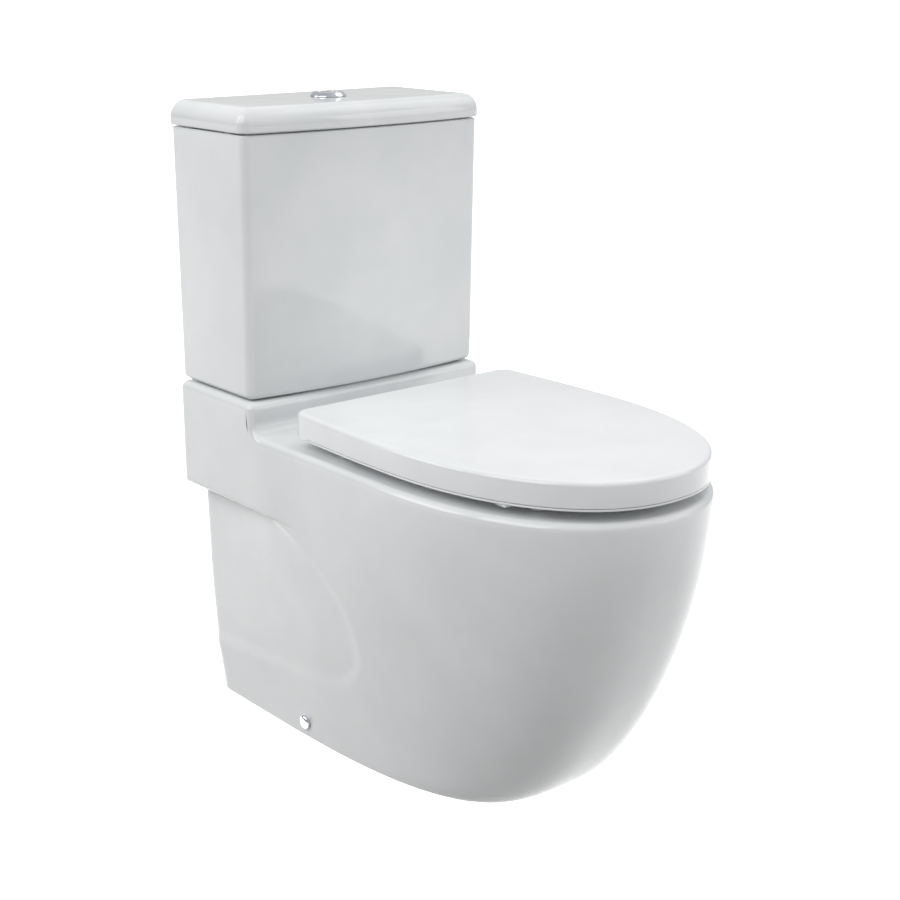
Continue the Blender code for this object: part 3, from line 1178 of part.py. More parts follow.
def make_buffers():
    """Soft buffers under the seat, which rest on the rim, and under the cover."""
    places = (("rear", REAR_BUFFER_X, REAR_BUFFER_REACH), ("front", FRONT_BUFFER_X, FRONT_BUFFER_REACH))
    for side, sign in SIDES:
        for place, x, reach in places:
            disc(f"seat_buffer_{place}_{side}", BUFFER_RADIUS, RIM_HEIGHT + TOUCH, SEAT_BASE - TOUCH,
                 wall_point(sign * x, reach, 0.0), SOFT_WHITE, segments=16)
        disc(f"cover_buffer_{side}", COVER_BUFFER_RADIUS, SEAT_TOP + TOUCH, COVER_CEILING - TOUCH,
             wall_point(sign * COVER_BUFFER_X, FRONT_BUFFER_REACH, 0.0), SOFT_WHITE, segments=16)


# Moving groups


def carry(name, place, pieces, carrier=None):
    """An empty on a joint's axis that carries the pieces which move about it."""
    axis = bpy.data.objects.new(name, None)
    axis.empty_display_size = 0.02
    axis.location = place
    bpy.context.scene.collection.objects.link(axis)
    bpy.context.view_layer.update()
    for piece in pieces:
        child = bpy.data.objects[piece]
        child.parent = axis
        child.matrix_parent_inverse = Matrix.Translation(-Vector(place))
    if carrier:
        axis.parent = carrier
        axis.matrix_parent_inverse = carrier.matrix_world.inverted()
        bpy.context.view_layer.update()
    return axis


def carry_moving_pieces():
    hinge = wall_point(0.0, HINGE_REACH, HINGE_Z)
    buffers = [f"seat_buffer_{place}_{side}" for place in ("rear", "front") for side, _ in SIDES]
    seat = carry("seat_axis", hinge, ["seat_ring"] + buffers)
    carry("cover_axis", hinge, ["seat_cover", "cover_buffer_left", "cover_buffer_right"], seat)
    lid = carry("lid_axis", wall_point(0.0, VALVE_REACH, LID_BASE),
                ["cistern_lid", "button_bezel", "button_nut"])
    for name, sign in (("full", -1), ("half", 1)):
        carry(f"{name}_button_axis", wall_point(sign * ROD_OFFSET, VALVE_REACH, BUTTON_FLOOR),
              [f"button_{name}", f"push_rod_{name}"], lid)
    carry("flush_core_axis", wall_point(0.0, VALVE_REACH, FLANGE_HEIGHT), ["overflow_tube", "valve_seal"])
    carry("float_axis", wall_point(FILL_VALVE_X, VALVE_REACH, FLOAT_BASE), ["fill_valve_float", "float_rod"])
    carry("lever_axis", wall_point(LEVER_X, VALVE_REACH, LEVER_Z), ["fill_valve_lever"])


def main():
    clear_scene()
    make_pan()
    make_cistern()
    make_lid()
    make_pads()
    make_bezel()
    make_buttons()
    make_flush_valve()
    make_fill_valve()
    make_coupling_bolts()
    make_seat_hinges()
    make_floor_fixings()
    make_cover()
    make_seat()
    make_buffers()
    carry_moving_pieces()


main()
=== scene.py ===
# A close coupled toilet in glazed vitreous china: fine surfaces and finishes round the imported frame.
# Lengths are metres. The wall is the plane y = wallY, and a reach is a distance from the wall.
import json

import bmesh
import bpy
import numpy as np
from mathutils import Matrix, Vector


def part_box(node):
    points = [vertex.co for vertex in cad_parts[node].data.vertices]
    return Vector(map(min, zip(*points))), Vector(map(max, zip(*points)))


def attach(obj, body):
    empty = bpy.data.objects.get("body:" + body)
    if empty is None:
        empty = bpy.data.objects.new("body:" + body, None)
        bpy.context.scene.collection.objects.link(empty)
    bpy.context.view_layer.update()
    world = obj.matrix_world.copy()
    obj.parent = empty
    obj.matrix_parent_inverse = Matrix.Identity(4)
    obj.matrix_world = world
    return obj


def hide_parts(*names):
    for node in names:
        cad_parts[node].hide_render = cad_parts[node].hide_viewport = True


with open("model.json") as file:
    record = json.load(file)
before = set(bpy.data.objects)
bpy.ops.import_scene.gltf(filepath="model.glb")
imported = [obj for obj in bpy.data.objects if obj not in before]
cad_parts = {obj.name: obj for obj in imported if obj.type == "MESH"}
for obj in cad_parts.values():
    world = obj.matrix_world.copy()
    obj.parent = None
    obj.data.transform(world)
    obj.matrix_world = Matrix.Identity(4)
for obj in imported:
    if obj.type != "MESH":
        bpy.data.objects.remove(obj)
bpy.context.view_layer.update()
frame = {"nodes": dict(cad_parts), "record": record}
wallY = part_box("cistern")[1].y
touch = 0.0003  # clearance that keeps two faces apart
runningGap = 0.0006  # clearance round what turns or slides
sharpAngle = 38.0  # edges that turn by more degrees stay crisp
weldReach = 2e-6
sides = (("left", -1), ("right", 1))


# Arrays and paths

def place(x, reach, z):
    # the point (x, wallY - reach, z), with the three broadcast against each other
    x, reach, z = np.broadcast_arrays(x, reach, z)
    return np.stack([x, wallY - reach, z], axis=-1).astype(float)


def smoothStep(value):
    # 3v^2 - 2v^3, with v held between 0 and 1
    value = np.clip(value, 0.0, 1.0)
    return value * value * (3 - 2 * value)


def quarterTurn(steps):
    # even angles from 0 to a right angle
    return np.linspace(0.0, np.pi / 2, steps + 1)


def column(values):
    return np.asarray(values, float)[:, None]


def bothSides(right):
    # a right half from the rear to the front, and its mirror image back to the rear, for every row
    left = right[:, -2::-1] * np.array([-1, 1, 1])
    return np.concatenate([right, left], axis=1)


def superellipse(angle, power):
    # (cos a / N, sin a / N) with N = (cos^n + sin^n)^(1/n); the last angle lies on the middle line
    across, along = np.cos(angle), np.sin(angle)
    across[..., -1] = 0.0
    norm = (across**power + along**power) ** (1 / power)
    return across / norm, along / norm


def ovalPoints(angle, halfWidth, behind, ahead, centre, z, power):
    # polar superellipse: along each ray the distance is (|s/w|^n + |c/l|^n)^(-1/n), with one length l
    # behind its centre and another ahead of it
    across, along = np.sin(angle), np.cos(angle)
    length = np.where(along > 0, ahead, behind)
    distance = (np.abs(across / halfWidth) ** power + np.abs(along / length) ** power) ** (-1 / power)
    return place(across * distance, centre + along * distance, z)


def filletPath(corners, steps=6, closed=False):
    # each corner (a, b, radius) of an outline becomes an arc that touches the two sides beside it
    spots = np.array([corner[:2] for corner in corners], float)
    radii = [corner[2] if len(corner) > 2 else 0.0 for corner in corners]
    path = []
    for i, (spot, radius) in enumerate(zip(spots, radii)):
        if radius <= 0 or not (closed or 0 < i < len(corners) - 1):
            path.append(spot)
            continue
        before, after = spots[i - 1] - spot, spots[(i + 1) % len(spots)] - spot
        before, after = before / np.linalg.norm(before), after / np.linalg.norm(after)
        half = np.arccos(np.clip(before @ after, -1, 1)) / 2
        middle = before + after
        centre = spot + middle / np.linalg.norm(middle) * radius / np.sin(half)
        start = spot + before * radius / np.tan(half) - centre
        end = spot + after * radius / np.tan(half) - centre
        turn = np.pi - 2 * half
        share = column(np.linspace(0, 1, steps + 1))
        path.extend(centre + (np.sin((1 - share) * turn) * start + np.sin(share * turn) * end) / np.sin(turn))
    return np.array(path)


def splinePath(spots, count):
    # Catmull-Rom curve: cubics through the spots whose tangents are (next - previous) / 2
    spots = np.array(spots, float)
    padded = np.vstack([2 * spots[0] - spots[1], spots, 2 * spots[-1] - spots[-2]])
    t = np.linspace(0, len(spots) - 1 - 1e-9, count)
    i, f = t.astype(int), column(t % 1)
    p0, p1, p2, p3 = (padded[i + k] for k in range(4))
    return p1 + 0.5 * f * (p2 - p0 + f * (2 * p0 - 5 * p1 + 4 * p2 - p3 + f * (3 * (p1 - p2) + p3 - p0)))


# Grids and meshes

def gridPatch(points, ringAcross=False, ringAlong=False):
    # one quad between each point of a grid and its next neighbours along the rows and the columns
    rows, columns = points.shape[:2]
    a = column(np.arange(rows if ringAlong else rows - 1)).astype(int)
    b = np.arange(columns if ringAcross else columns - 1)[None, :]
    c, d = (a + 1) % rows, (b + 1) % columns
    corners = np.broadcast_arrays(a * columns + b, a * columns + d, c * columns + d, c * columns + b)
    return points.reshape(-1, 3), np.stack(corners, axis=-1).reshape(-1, 4)


def facePatch(loop):
    # one flat face round a closed loop of points
    return loop, np.arange(len(loop))[None, :]


def polePatch(loop, crown=0.0, rings=6):
    # rings that shrink from a closed loop to its mean, raised by crown * (1 - size^2)
    size = np.linspace(1, 0, rings + 1)[:, None, None]
    middle = loop.mean(axis=0)
    rise = crown * (1 - size**2) * np.array([0, 0, 1])
    return gridPatch(middle + (loop[None] - middle) * size + rise, True)


def showMesh(name, mesh):
    # smooth, with a crisp edge wherever two faces turn by more than sharpAngle
    mesh.shade_smooth()
    mesh.set_sharp_from_angle(angle=np.radians(sharpAngle))
    obj = bpy.data.objects.new(name, mesh)
    bpy.context.scene.collection.objects.link(obj)
    return obj


def meshPiece(name, patches):
    # welds the patches into one closed surface with its faces outwards
    starts = np.cumsum([0] + [len(points) for points, _ in patches])
    points = np.concatenate([points for points, _ in patches])
    corners = np.concatenate([(faces + start).ravel() for (_, faces), start in zip(patches, starts)])
    sizes = np.concatenate([np.full(len(faces), faces.shape[1]) for _, faces in patches])
    mesh = bpy.data.meshes.new(name)
    mesh.vertices.add(len(points))
    mesh.vertices.foreach_set("co", points.ravel())
    mesh.loops.add(len(corners))
    mesh.loops.foreach_set("vertex_index", corners.astype(np.int32))
    mesh.polygons.add(len(sizes))
    mesh.polygons.foreach_set("loop_start", (np.cumsum(sizes) - sizes).astype(np.int32))
    mesh.update(calc_edges=True)
    shell = bmesh.new()
    shell.from_mesh(mesh)
    bmesh.ops.remove_doubles(shell, verts=shell.verts, dist=weldReach)
    bmesh.ops.dissolve_degenerate(shell, edges=shell.edges, dist=weldReach / 20)
    bmesh.ops.recalc_face_normals(shell, faces=shell.faces)
    shell.to_mesh(mesh)
    shell.free()
    return showMesh(name, mesh)


def loftPiece(name, grid):
    # closed rows of points with a flat face over the first and the last
    return meshPiece(name, [gridPatch(grid, True), facePatch(grid[0]), facePatch(grid[-1])])


def bendPiece(obj, change):
    # moves every point of a piece to change(points)
    flat = np.empty(len(obj.data.vertices) * 3)
    obj.data.vertices.foreach_get("co", flat)
    obj.data.vertices.foreach_set("co", change(flat.reshape(-1, 3)).ravel())
    obj.data.update()


def carve(obj, *steps):
    # each step is ("cut" or "join", tool, ...); the tools are used up and the result is a plain mesh
    tools = []
    for kind, *forms in steps:
        for form in forms:
            change = obj.modifiers.new(form.name, "BOOLEAN")
            change.operation = {"cut": "DIFFERENCE", "join": "UNION"}[kind]
            change.solver = "MANIFOLD"
            change.object = form
            tools.append(form)
    depsgraph = bpy.context.evaluated_depsgraph_get()
    mesh = bpy.data.meshes.new_from_object(obj.evaluated_get(depsgraph))
    name = obj.name
    for old in (obj, *tools):
        bpy.data.objects.remove(old, do_unlink=True)
    return showMesh(name, mesh)


def finishPiece(obj, body, finish, slot, *nodes):
    # its finish, the body it moves with and the CAD nodes it stands for; slot is not used
    obj.data.materials.clear()
    obj.data.materials.append(finish)
    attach(obj, body)
    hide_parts(*nodes)
    return obj


def turnedPiece(name, profile, centre, axis="z", steps=80, ring=False):
    # (radius, height) pairs turned about an axis: radius * cos a, radius * sin a, height
    profile = np.array(profile, float)
    angle = np.linspace(0, 2 * np.pi, steps, endpoint=False)[None, :]
    a, b = profile[:, :1] * np.cos(angle), profile[:, :1] * np.sin(angle)
    along = np.broadcast_to(profile[:, 1:2], a.shape)
    order = {"z": (a, b, along), "x": (along, a, b), "y": (a, along, b)}[axis]
    grid = np.stack(order, axis=-1) + np.array(centre)
    return meshPiece(name, [gridPatch(grid, True, ring)])


def roundBar(name, radius, low, high, centre, axis="z", edge=0.0, steps=48):
    # a bar with closed ends whose edges are rounded by edge
    low, high = min(low, high), max(low, high)
    profile = filletPath([(0, low), (radius, low, edge), (radius, high, edge), (0, high)], 4)
    return turnedPiece(name, profile, centre, axis, steps)


def roundRing(name, inner, outer, low, high, centre, edge=0.0006, steps=72):
    # a ring whose four edges are rounded by edge
    corners = [(inner, low, edge), (outer, low, edge), (outer, high, edge), (inner, high, edge)]
    return turnedPiece(name, filletPath(corners, 4, True), centre, steps=steps, ring=True)


def roundBlock(name, low, high, edge):
    # a rectangle with round corners, carried up a profile whose two ends are rounded as well
    low, high = np.minimum(low, high), np.maximum(low, high)
    middle, (halfX, halfY) = (low + high)[:2] / 2, (high - low)[:2] / 2
    half = np.array([halfX, halfY])
    corners = [(-halfX, -halfY, edge), (halfX, -halfY, edge), (halfX, halfY, edge), (-halfX, halfY, edge)]
    outline = filletPath(corners, 5, True)
    flat, bend = edge * 0.9, edge * 0.88  # the bend stays just inside the flat end
    profile = filletPath([(flat, low[2]), (0, low[2], bend), (0, high[2], bend), (flat, high[2])], 5)
    inset = profile[:, 0][:, None, None]
    spots = middle + outline[None] * (1 - inset / half)
    heights = np.broadcast_to(profile[:, 1][:, None, None], (*spots.shape[:2], 1))
    return loftPiece(name, np.concatenate([spots, heights], axis=-1))


# Finishes

def hexColour(text):
    # sRGB hex to linear: v / 12.92 below 0.04045, or else ((v + 0.055) / 1.055)^2.4
    value = np.array([int(text[i:i + 2], 16) for i in (1, 3, 5)]) / 255
    linear = np.where(value <= 0.04045, value / 12.92, ((value + 0.055) / 1.055) ** 2.4)
    return (*map(float, linear), 1.0)


def addNode(tree, kind, settings=(), values=(), links=()):
    # one node: its own settings, the numbers on its sockets, and the sockets that feed it
    node = tree.nodes.new("ShaderNode" + kind)
    for key, value in dict(settings).items():
        setattr(node, key, value)
    for key, value in dict(values).items():
        node.inputs[key].default_value = value
    for key, source in dict(links).items():
        tree.links.new(source, node.inputs[key])
    return node


def newFinish(name, colour, roughness, metallic=0.0, ior=None):
    # one even surface to start from, and the coordinates its patterns are drawn in
    finish = bpy.data.materials.new(name)
    finish.use_nodes = True
    tree = finish.node_tree
    shader = tree.nodes["Principled BSDF"]
    shader.inputs["Base Color"].default_value = hexColour(colour)
    shader.inputs["Roughness"].default_value = roughness
    shader.inputs["Metallic"].default_value = metallic
    if ior:
        shader.inputs["IOR"].default_value = ior
    spot = addNode(tree, "TexCoord").outputs["Object"]
    return finish, tree, shader, spot


def mixColours(tree, share, first, second):
    # a colour between two hex colours, or between a socket and a hex colour
    node = addNode(tree, "Mix", {"data_type": "RGBA"}, links={0: share})
    for index, colour in ((6, first), (7, second)):
        if isinstance(colour, str):
            node.inputs[index].default_value = hexColour(colour)
        else:
            tree.links.new(colour, node.inputs[index])
    return node.outputs[2]


def remap(tree, source, low, high, toLow, toHigh):
    # low..high becomes toLow..toHigh, and what lies outside is held at the ends
    values = {"From Min": low, "From Max": high, "To Min": toLow, "To Max": toHigh}
    return addNode(tree, "MapRange", values=values, links={"Value": source}).outputs["Result"]


def noise(tree, spot, sizeMm, detail=2.0, roughness=0.5):
    # lumps about sizeMm across
    values = {"Scale": 1000 / sizeMm, "Detail": detail, "Roughness": roughness}
    return addNode(tree, "TexNoise", values=values, links={"Vector": spot}).outputs["Fac"]


def spread(tree, source, toLow=0.0, toHigh=1.0, low=0.3, high=0.7):
    # stretches the band that most of a noise texture's values lie in
    return remap(tree, source, low, high, toLow, toHigh)


def relief(tree, height, depthMm, under=None):
    # a bump that is depthMm deep, on top of the one under it
    links = {"Height": height, **({"Normal": under} if under else {})}
    values = {"Strength": 1.0, "Distance": depthMm / 1000}
    return addNode(tree, "Bump", values=values, links=links).outputs["Normal"]


def feed(shader, colour, roughness, normal):
    # joins the three patterns to the shader
    for socket, source in (("Base Color", colour), ("Roughness", roughness), ("Normal", normal)):
        shader.id_data.links.new(source, shader.inputs[socket])


chinaLook = {
    "glaze": "#EDEFF0", "thinGlaze": "#E6E9EA", "bisque": "#D9D2C4", "speck": "#A79F92", "ior": 1.52,
    "mottleMm": 90.0, "sheenMm": 35.0, "roughLow": 0.055, "roughHigh": 0.095, "roughBisque": 0.6,
    "waveMm": 55.0, "waveDepthMm": 0.22, "peelMm": 2.6, "peelDepthMm": 0.0035, "footMm": 1.4,
    "speckMm": 30.0, "speckRadiusMm": 0.22, "speckShare": 0.5,
}
duroplastLook = {
    "colour": "#F1F3F4", "light": "#F2F4F5", "dark": "#EDEFF1", "ior": 1.54, "rough": 0.12, "cloudMm": 60.0,
    "wipeMm": 4.0, "roughLow": 0.10, "roughHigh": 0.16, "rippleMm": 70.0, "rippleDepthMm": 0.10,
    "grainMm": 1.6, "grainDepthMm": 0.0012,
}
chromeLook = {
    "colour": "#D5D8DC", "light": "#D8DBDF", "dark": "#CDD1D6", "rough": 0.06, "tintMm": 9.0, "wipeMm": 3.0,
    "wipeStretch": 14.0, "roughLow": 0.045, "roughHigh": 0.15, "dentMm": 6.0, "dentDepthMm": 0.004,
}


def glazedChina():
    # Slip cast vitreous china, sprayed with an opaque glaze and fired once. The cast wall leaves broad
    # shallow waves, the sprayed glaze a fine orange peel, and a rare iron speck shows. The ring that
    # stands in the kiln is wiped clean, so the lowest edge is bare, matt bisque.
    look = chinaLook
    finish, tree, shader, spot = newFinish("glazedVitreousChina", look["glaze"], look["roughLow"],
                                           ior=look["ior"])
    mottle = spread(tree, noise(tree, spot, look["mottleMm"], 3.0), low=0.35)
    glaze = mixColours(tree, mottle, look["glaze"], look["thinGlaze"])
    cell = addNode(tree, "TexVoronoi", {"feature": "F1"}, {"Scale": 1000 / look["speckMm"]}, {"Vector": spot})
    reachOut = look["speckRadiusMm"] / look["speckMm"]
    speck = remap(tree, cell.outputs["Distance"], reachOut * 0.6, reachOut, look["speckShare"], 0.0)
    glaze = mixColours(tree, speck, glaze, look["speck"])
    height = addNode(tree, "SeparateXYZ", links={"Vector": spot}).outputs["Z"]
    bare = remap(tree, height, look["footMm"] / 1000 * 0.7, look["footMm"] / 1000, 1.0, 0.0)
    sheen = spread(tree, noise(tree, spot, look["sheenMm"]), look["roughLow"], look["roughHigh"])
    rough = addNode(tree, "Mix", {"data_type": "FLOAT"}, {3: look["roughBisque"]}, {0: bare, 2: sheen})
    wave = relief(tree, noise(tree, spot, look["waveMm"], 1.0), look["waveDepthMm"])
    peel = relief(tree, noise(tree, spot, look["peelMm"], 1.0), look["peelDepthMm"], wave)
    feed(shader, mixColours(tree, bare, glaze, look["bisque"]), rough.outputs[0], peel)
    return finish


def mouldedDuroplast():
    # Urea moulding compound pressed in a polished steel tool and buffed: an even white, a little
    # softer in gloss than glaze, with the faint ripple of a moulding and fine wiping marks.
    look = duroplastLook
    finish, tree, shader, spot = newFinish("pressMouldedDuroplast", look["colour"], look["rough"],
                                           ior=look["ior"])
    cloud = mixColours(tree, spread(tree, noise(tree, spot, look["cloudMm"])), look["light"], look["dark"])
    wiped = noise(tree, spot, look["wipeMm"], 4.0, 0.7)
    rough = spread(tree, wiped, look["roughLow"], look["roughHigh"], 0.35)
    ripple = relief(tree, noise(tree, spot, look["rippleMm"], 0.0), look["rippleDepthMm"])
    grain = relief(tree, noise(tree, spot, look["grainMm"], 1.0), look["grainDepthMm"], ripple)
    feed(shader, cloud, rough, grain)
    return finish


def chromePlate():
    # Bright chrome over nickel on moulded ABS: a mirror with a cool tint, and hairline marks where
    # fingers press and cloths wipe.
    look = chromeLook
    finish, tree, shader, spot = newFinish("brightChromePlate", look["colour"], look["rough"], 1.0)
    tint = mixColours(tree, spread(tree, noise(tree, spot, look["tintMm"])), look["light"], look["dark"])
    stretch = {"Scale": (1.0, look["wipeStretch"], 1.0)}
    stretched = addNode(tree, "Mapping", values=stretch, links={"Vector": spot}).outputs["Vector"]
    wiped = noise(tree, stretched, look["wipeMm"], 3.0, 0.7)
    rough = spread(tree, wiped, look["roughLow"], look["roughHigh"], 0.4, 0.75)
    feed(shader, tint, rough, relief(tree, noise(tree, spot, look["dentMm"], 1.0), look["dentDepthMm"]))
    return finish


def turnedMetal(name, light, dark, rough, grainMm):
    # A turned or rolled fixing: fine lay from the tool, darker where the plating is thin.
    toneMm, layStretch, layDepthMm = 5.0, 9.0, 0.02
    finish, tree, shader, spot = newFinish(name, light, rough, 1.0)
    tone = mixColours(tree, spread(tree, noise(tree, spot, toneMm, 4.0, 0.6)), light, dark)
    lay = addNode(tree, "Mapping", values={"Scale": (1.0, 1.0, layStretch)}, links={"Vector": spot})
    grain = noise(tree, lay.outputs["Vector"], grainMm, 3.0, 0.6)
    feed(shader, tone, spread(tree, grain, rough * 0.8, rough * 1.4), relief(tree, grain, layDepthMm))
    return finish


def mouldedPlastic(name, light, dark, rough, textureMm, textureDepthMm, ior=1.49):
    # An injection or compression moulding: an even colour with faint flow clouds, and the fine matt
    # texture of a blasted tool. The texture is drawn about four times coarser than the real one.
    cloudMm = 22.0
    finish, tree, shader, spot = newFinish(name, light, rough, ior=ior)
    cloud = mixColours(tree, spread(tree, noise(tree, spot, cloudMm, 3.0)), light, dark)
    grit = noise(tree, spot, textureMm)
    matt = spread(tree, grit, rough * 0.85, min(1.0, rough * 1.2))
    feed(shader, cloud, matt, relief(tree, grit, textureDepthMm))
    return finish


china = glazedChina()
duroplast = mouldedDuroplast()
chrome = chromePlate()
zincSteel = turnedMetal("zincPlatedSteel", "#B9BCC0", "#9FA3A8", 0.28, 0.8)
brass = turnedMetal("turnedBrass", "#C7A765", "#A9874B", 0.26, 0.8)
polypropylene = mouldedPlastic("mouldedPolypropylene", "#E9EAEB", "#E0E2E3", 0.38, 0.5, 0.01)
greyAbs = mouldedPlastic("mouldedGreyAbs", "#83878D", "#787D83", 0.42, 0.5, 0.012, 1.53)
bluePolypropylene = mouldedPlastic("mouldedBluePolypropylene", "#3C6FA6", "#34639A", 0.36, 0.5, 0.01)
rubber = mouldedPlastic("mouldedEpdmRubber", "#262626", "#1E1E1E", 0.62, 0.7, 0.02, 1.5)
elastomer = mouldedPlastic("softElastomerBuffer", "#E6E6E2", "#DCDCD7", 0.55, 0.6, 0.01, 1.5)
foam = mouldedPlastic("closedCellFoam", "#5B5B5B", "#484848", 0.85, 1.1, 0.25, 1.4)
slotFinish = {"ceramic": china, "seat_plastic": duroplast, "chrome": chrome, "steel": zincSteel,
              "brass": brass, "white_plastic": polypropylene, "grey_plastic": greyAbs,
              "blue_plastic": bluePolypropylene, "rubber": rubber, "soft_white": elastomer, "foam": foam}
for row in frame["record"]["subparts"]:  # every CAD node starts with its own slot's finish
    node = frame["nodes"][row["node"]]
    node.data.materials.clear()
    node.data.materials.append(slotFinish[row["material_slot"]])
print("finishes ready")


# Pan: the outer skin

panForm = {
    "depth": 0.7052, "rimHeight": 0.400, "rimHalfWidth": 0.1849, "rimEdge": 0.009,
    "footReach": 0.5195, "footHalfWidth": 0.1514, "frontRise": 1.59, "frontBulge": 0.70, "sideBulge": 1.60,
    "footSquareness": 3.31, "rimSquareness": 2.28, "footStraight": 0.086, "rimStraight": 0.413,
    "straightPower": 0.82, "shelfTop": 0.440, "shelfUnder": 0.302, "shelfSide": 0.1867, "shelfReach": 0.165,
    "shelfBlend": 0.090, "shelfEdge": 0.010, "stepFillet": 0.018,
    "panelHalfWidth": 0.1536, "panelDraft": 0.0217, "panelReach": 0.361, "panelArcBase": 0.165,
    "panelArcHeight": 0.160, "panelArcPower": 2.1, "panelFloorLine": 0.075, "panelFloorSlope": 0.09,
    "panelFloorRise": 0.06, "panelFloorPower": 12, "panelCrease": 0.0016, "panelFade": 0.28,
    "panelBlend": 0.022, "panelLimit": 0.45, "shelfPin": 0.135, "stepPin": 0.205, "sideTop": 0.336,
    "rearCorner": 0.014, "rearCornerGrowth": 0.019, "rearCornerHeight": 0.180, "shoulder": 0.018,
    "shoulderHeight": 0.020, "shoulderReach": 0.12, "rearEdge": 0.005, "footEdge": 0.0015,
    "underEdge": 0.0055, "underFillet": 0.005, "wall": 0.012, "bowlWall": 0.0108, "shelfThickness": 0.015,
    "rimUnder": 0.3552,
}
bowlForm = {
    "halfWidth": 0.112, "rear": 0.305, "front": 0.655, "squareness": 2.2, "middle": 0.42,
    "mouthEdge": 0.008, "lipHeight": 0.366, "lipEdge": 0.004, "channel": 0.018, "channelFloor": 0.336,
    "sumpBottom": 0.046, "sumpReach": 0.372, "sumpWidth": 0.20, "sumpFront": 0.10, "sidePower": 0.80,
    "rearPower": 0.50, "frontPower": 1.15, "sumpDish": 0.002,
}
trapForm = {  # the climb is in shares of the run back from the sump and of the rise to the weir
    "bore": 0.038, "outside": 0.051, "outletReach": 0.065, "outletHeight": 0.180, "weir": 0.024, "dip": 0.006,
    "climb": ((0.013, 0.033), (0.153, -0.017), (0.260, 0.117), (0.358, 0.433), (0.456, 0.783),
              (0.560, 0.950), (0.674, 1.000)),
    "fall": ((0.064, 0.008), (0.038, 0.0)), "boreEnd": 0.010,
}
hollowForm = {  # levels are shares of the height below the shelf; cuts run from one height to another
    "levels": (0.0, 0.03, 0.07, 0.12, 0.18, 0.28, 0.365, 0.50, 0.63, 0.74, 0.83, 0.93, 0.97),
    "behind": -0.020, "below": -0.005, "ledge": 0.0015, "overlap": 0.010, "edge": 0.004, "duct": 0.011,
    "ductHalfWidth": 0.024, "ductEdge": 0.002, "dropBore": 0.027, "dropTop": 0.452, "seatTop": 0.450,
    "stemBore": 0.0055, "shelfCut": (0.410, 0.470), "rimCut": (0.340, 0.460), "screwBore": 0.0031,
    "screwDepth": 0.024,
}


def panLevel(z):
    # with t from 0 at the floor to 1 below the rim's edge: reach = foot + (depth - foot)(1 - (1-t)^a)^b,
    # half width = foot + (rim - foot)(1 - (1-t)^2)^c, and squareness and straight length mix by t^d
    p = panForm
    t = np.clip(z / (p["rimHeight"] - p["rimEdge"]), 0, 1)
    forward = (1 - (1 - t) ** p["frontRise"]) ** p["frontBulge"]
    sideways = (1 - (1 - t) ** 2) ** p["sideBulge"]
    share = t ** p["straightPower"]
    return (p["footReach"] + (p["depth"] - p["footReach"]) * forward,
            p["footHalfWidth"] + (p["rimHalfWidth"] - p["footHalfWidth"]) * sideways,
            p["footSquareness"] + (p["rimSquareness"] - p["footSquareness"]) * share,
            p["footStraight"] + (p["rimStraight"] - p["footStraight"]) * share)


def panelShare(reach, z):
    # 1 inside the recessed side panel: behind the arc reach = R(1 - h^n)^(1/n), with h the share of the
    # arc's height, and above a foot line that climbs by the twelfth power of reach/R; both edges are soft
    p = panForm
    height = np.clip((z - p["panelArcBase"]) / p["panelArcHeight"], 0.0, 1.0)
    arc = p["panelReach"] * (1 - height ** p["panelArcPower"]) ** (1 / p["panelArcPower"])
    footLine = p["panelFloorLine"] + p["panelFloorSlope"] * reach + \
        p["panelFloorRise"] * (np.minimum(reach, p["panelReach"]) / p["panelReach"]) ** p["panelFloorPower"]
    share = smoothStep((arc - reach) / p["panelBlend"]) * smoothStep((z - footLine) / p["panelBlend"] + 0.5)
    return np.where(reach >= p["panelReach"], 0.0, share)


def cornerLoss(reach, radius):
    # how far a quarter circle of that radius at the wall takes the side in: r(1 - sqrt(1 - (1 - reach/r)^2))
    inside = np.clip(1 - reach / radius, 0.0, 1.0)
    return radius * (1 - np.sqrt(1 - inside * inside))


def belowShelf(reach, halfWidth, z):
    # the side below the shelf: the plain outline less the panel, which is deepest at the wall and leaves
    # only a shallow crease at its arc, less the rear corner (rounder towards the floor) and the shoulder
    p = panForm
    depth = np.maximum(halfWidth - p["panelHalfWidth"] - p["panelDraft"] * z, 0.0)
    crease = np.minimum(p["panelCrease"], depth)
    panel = crease + (depth - crease) * (1 - smoothStep(reach / p["panelFade"]))
    low = np.clip(1 - z / p["rearCornerHeight"], 0.0, 1.0)
    corner = cornerLoss(reach, p["rearCorner"] + p["rearCornerGrowth"] * low**1.5)
    up = np.clip(1 - (p["shelfUnder"] - z) / p["shoulderHeight"], 0.0, 1.0)
    shoulder = p["shoulder"] * (1 - np.sqrt(1 - up * up)) * (1 - smoothStep(reach / p["shoulderReach"]))
    return halfWidth - panel * panelShare(reach, z) - corner - shoulder


def besideShelf(reach, halfWidth):
    # the side beside the shelf, which runs out smoothly into the bowl's own outline
    p = panForm
    share = smoothStep((reach - p["shelfReach"]) / p["shelfBlend"])
    return p["shelfSide"] + (halfWidth - p["shelfSide"]) * share - cornerLoss(reach, p["rearEdge"])


def undercutSide(reach, halfWidth, z, kind, share):
    # kind 0 follows the side below, 1 the side beside the shelf; share 0..1 runs round the fillet (0) or
    # the edge (1), each at most 0.45 of the step deep
    p = panForm
    below = belowShelf(reach, halfWidth, z)
    beside = besideShelf(reach, halfWidth)
    step = np.maximum(beside - below, 0.0)
    fillet = np.minimum(p["underFillet"], 0.45 * step)
    edge = np.minimum(p["underEdge"], 0.45 * step)
    turn = share * np.pi / 2
    lower = below + fillet * (1 - np.cos(turn))
    upper = beside - edge * (1 - np.sin(turn))
    return np.where(kind < 0.5, lower, upper)


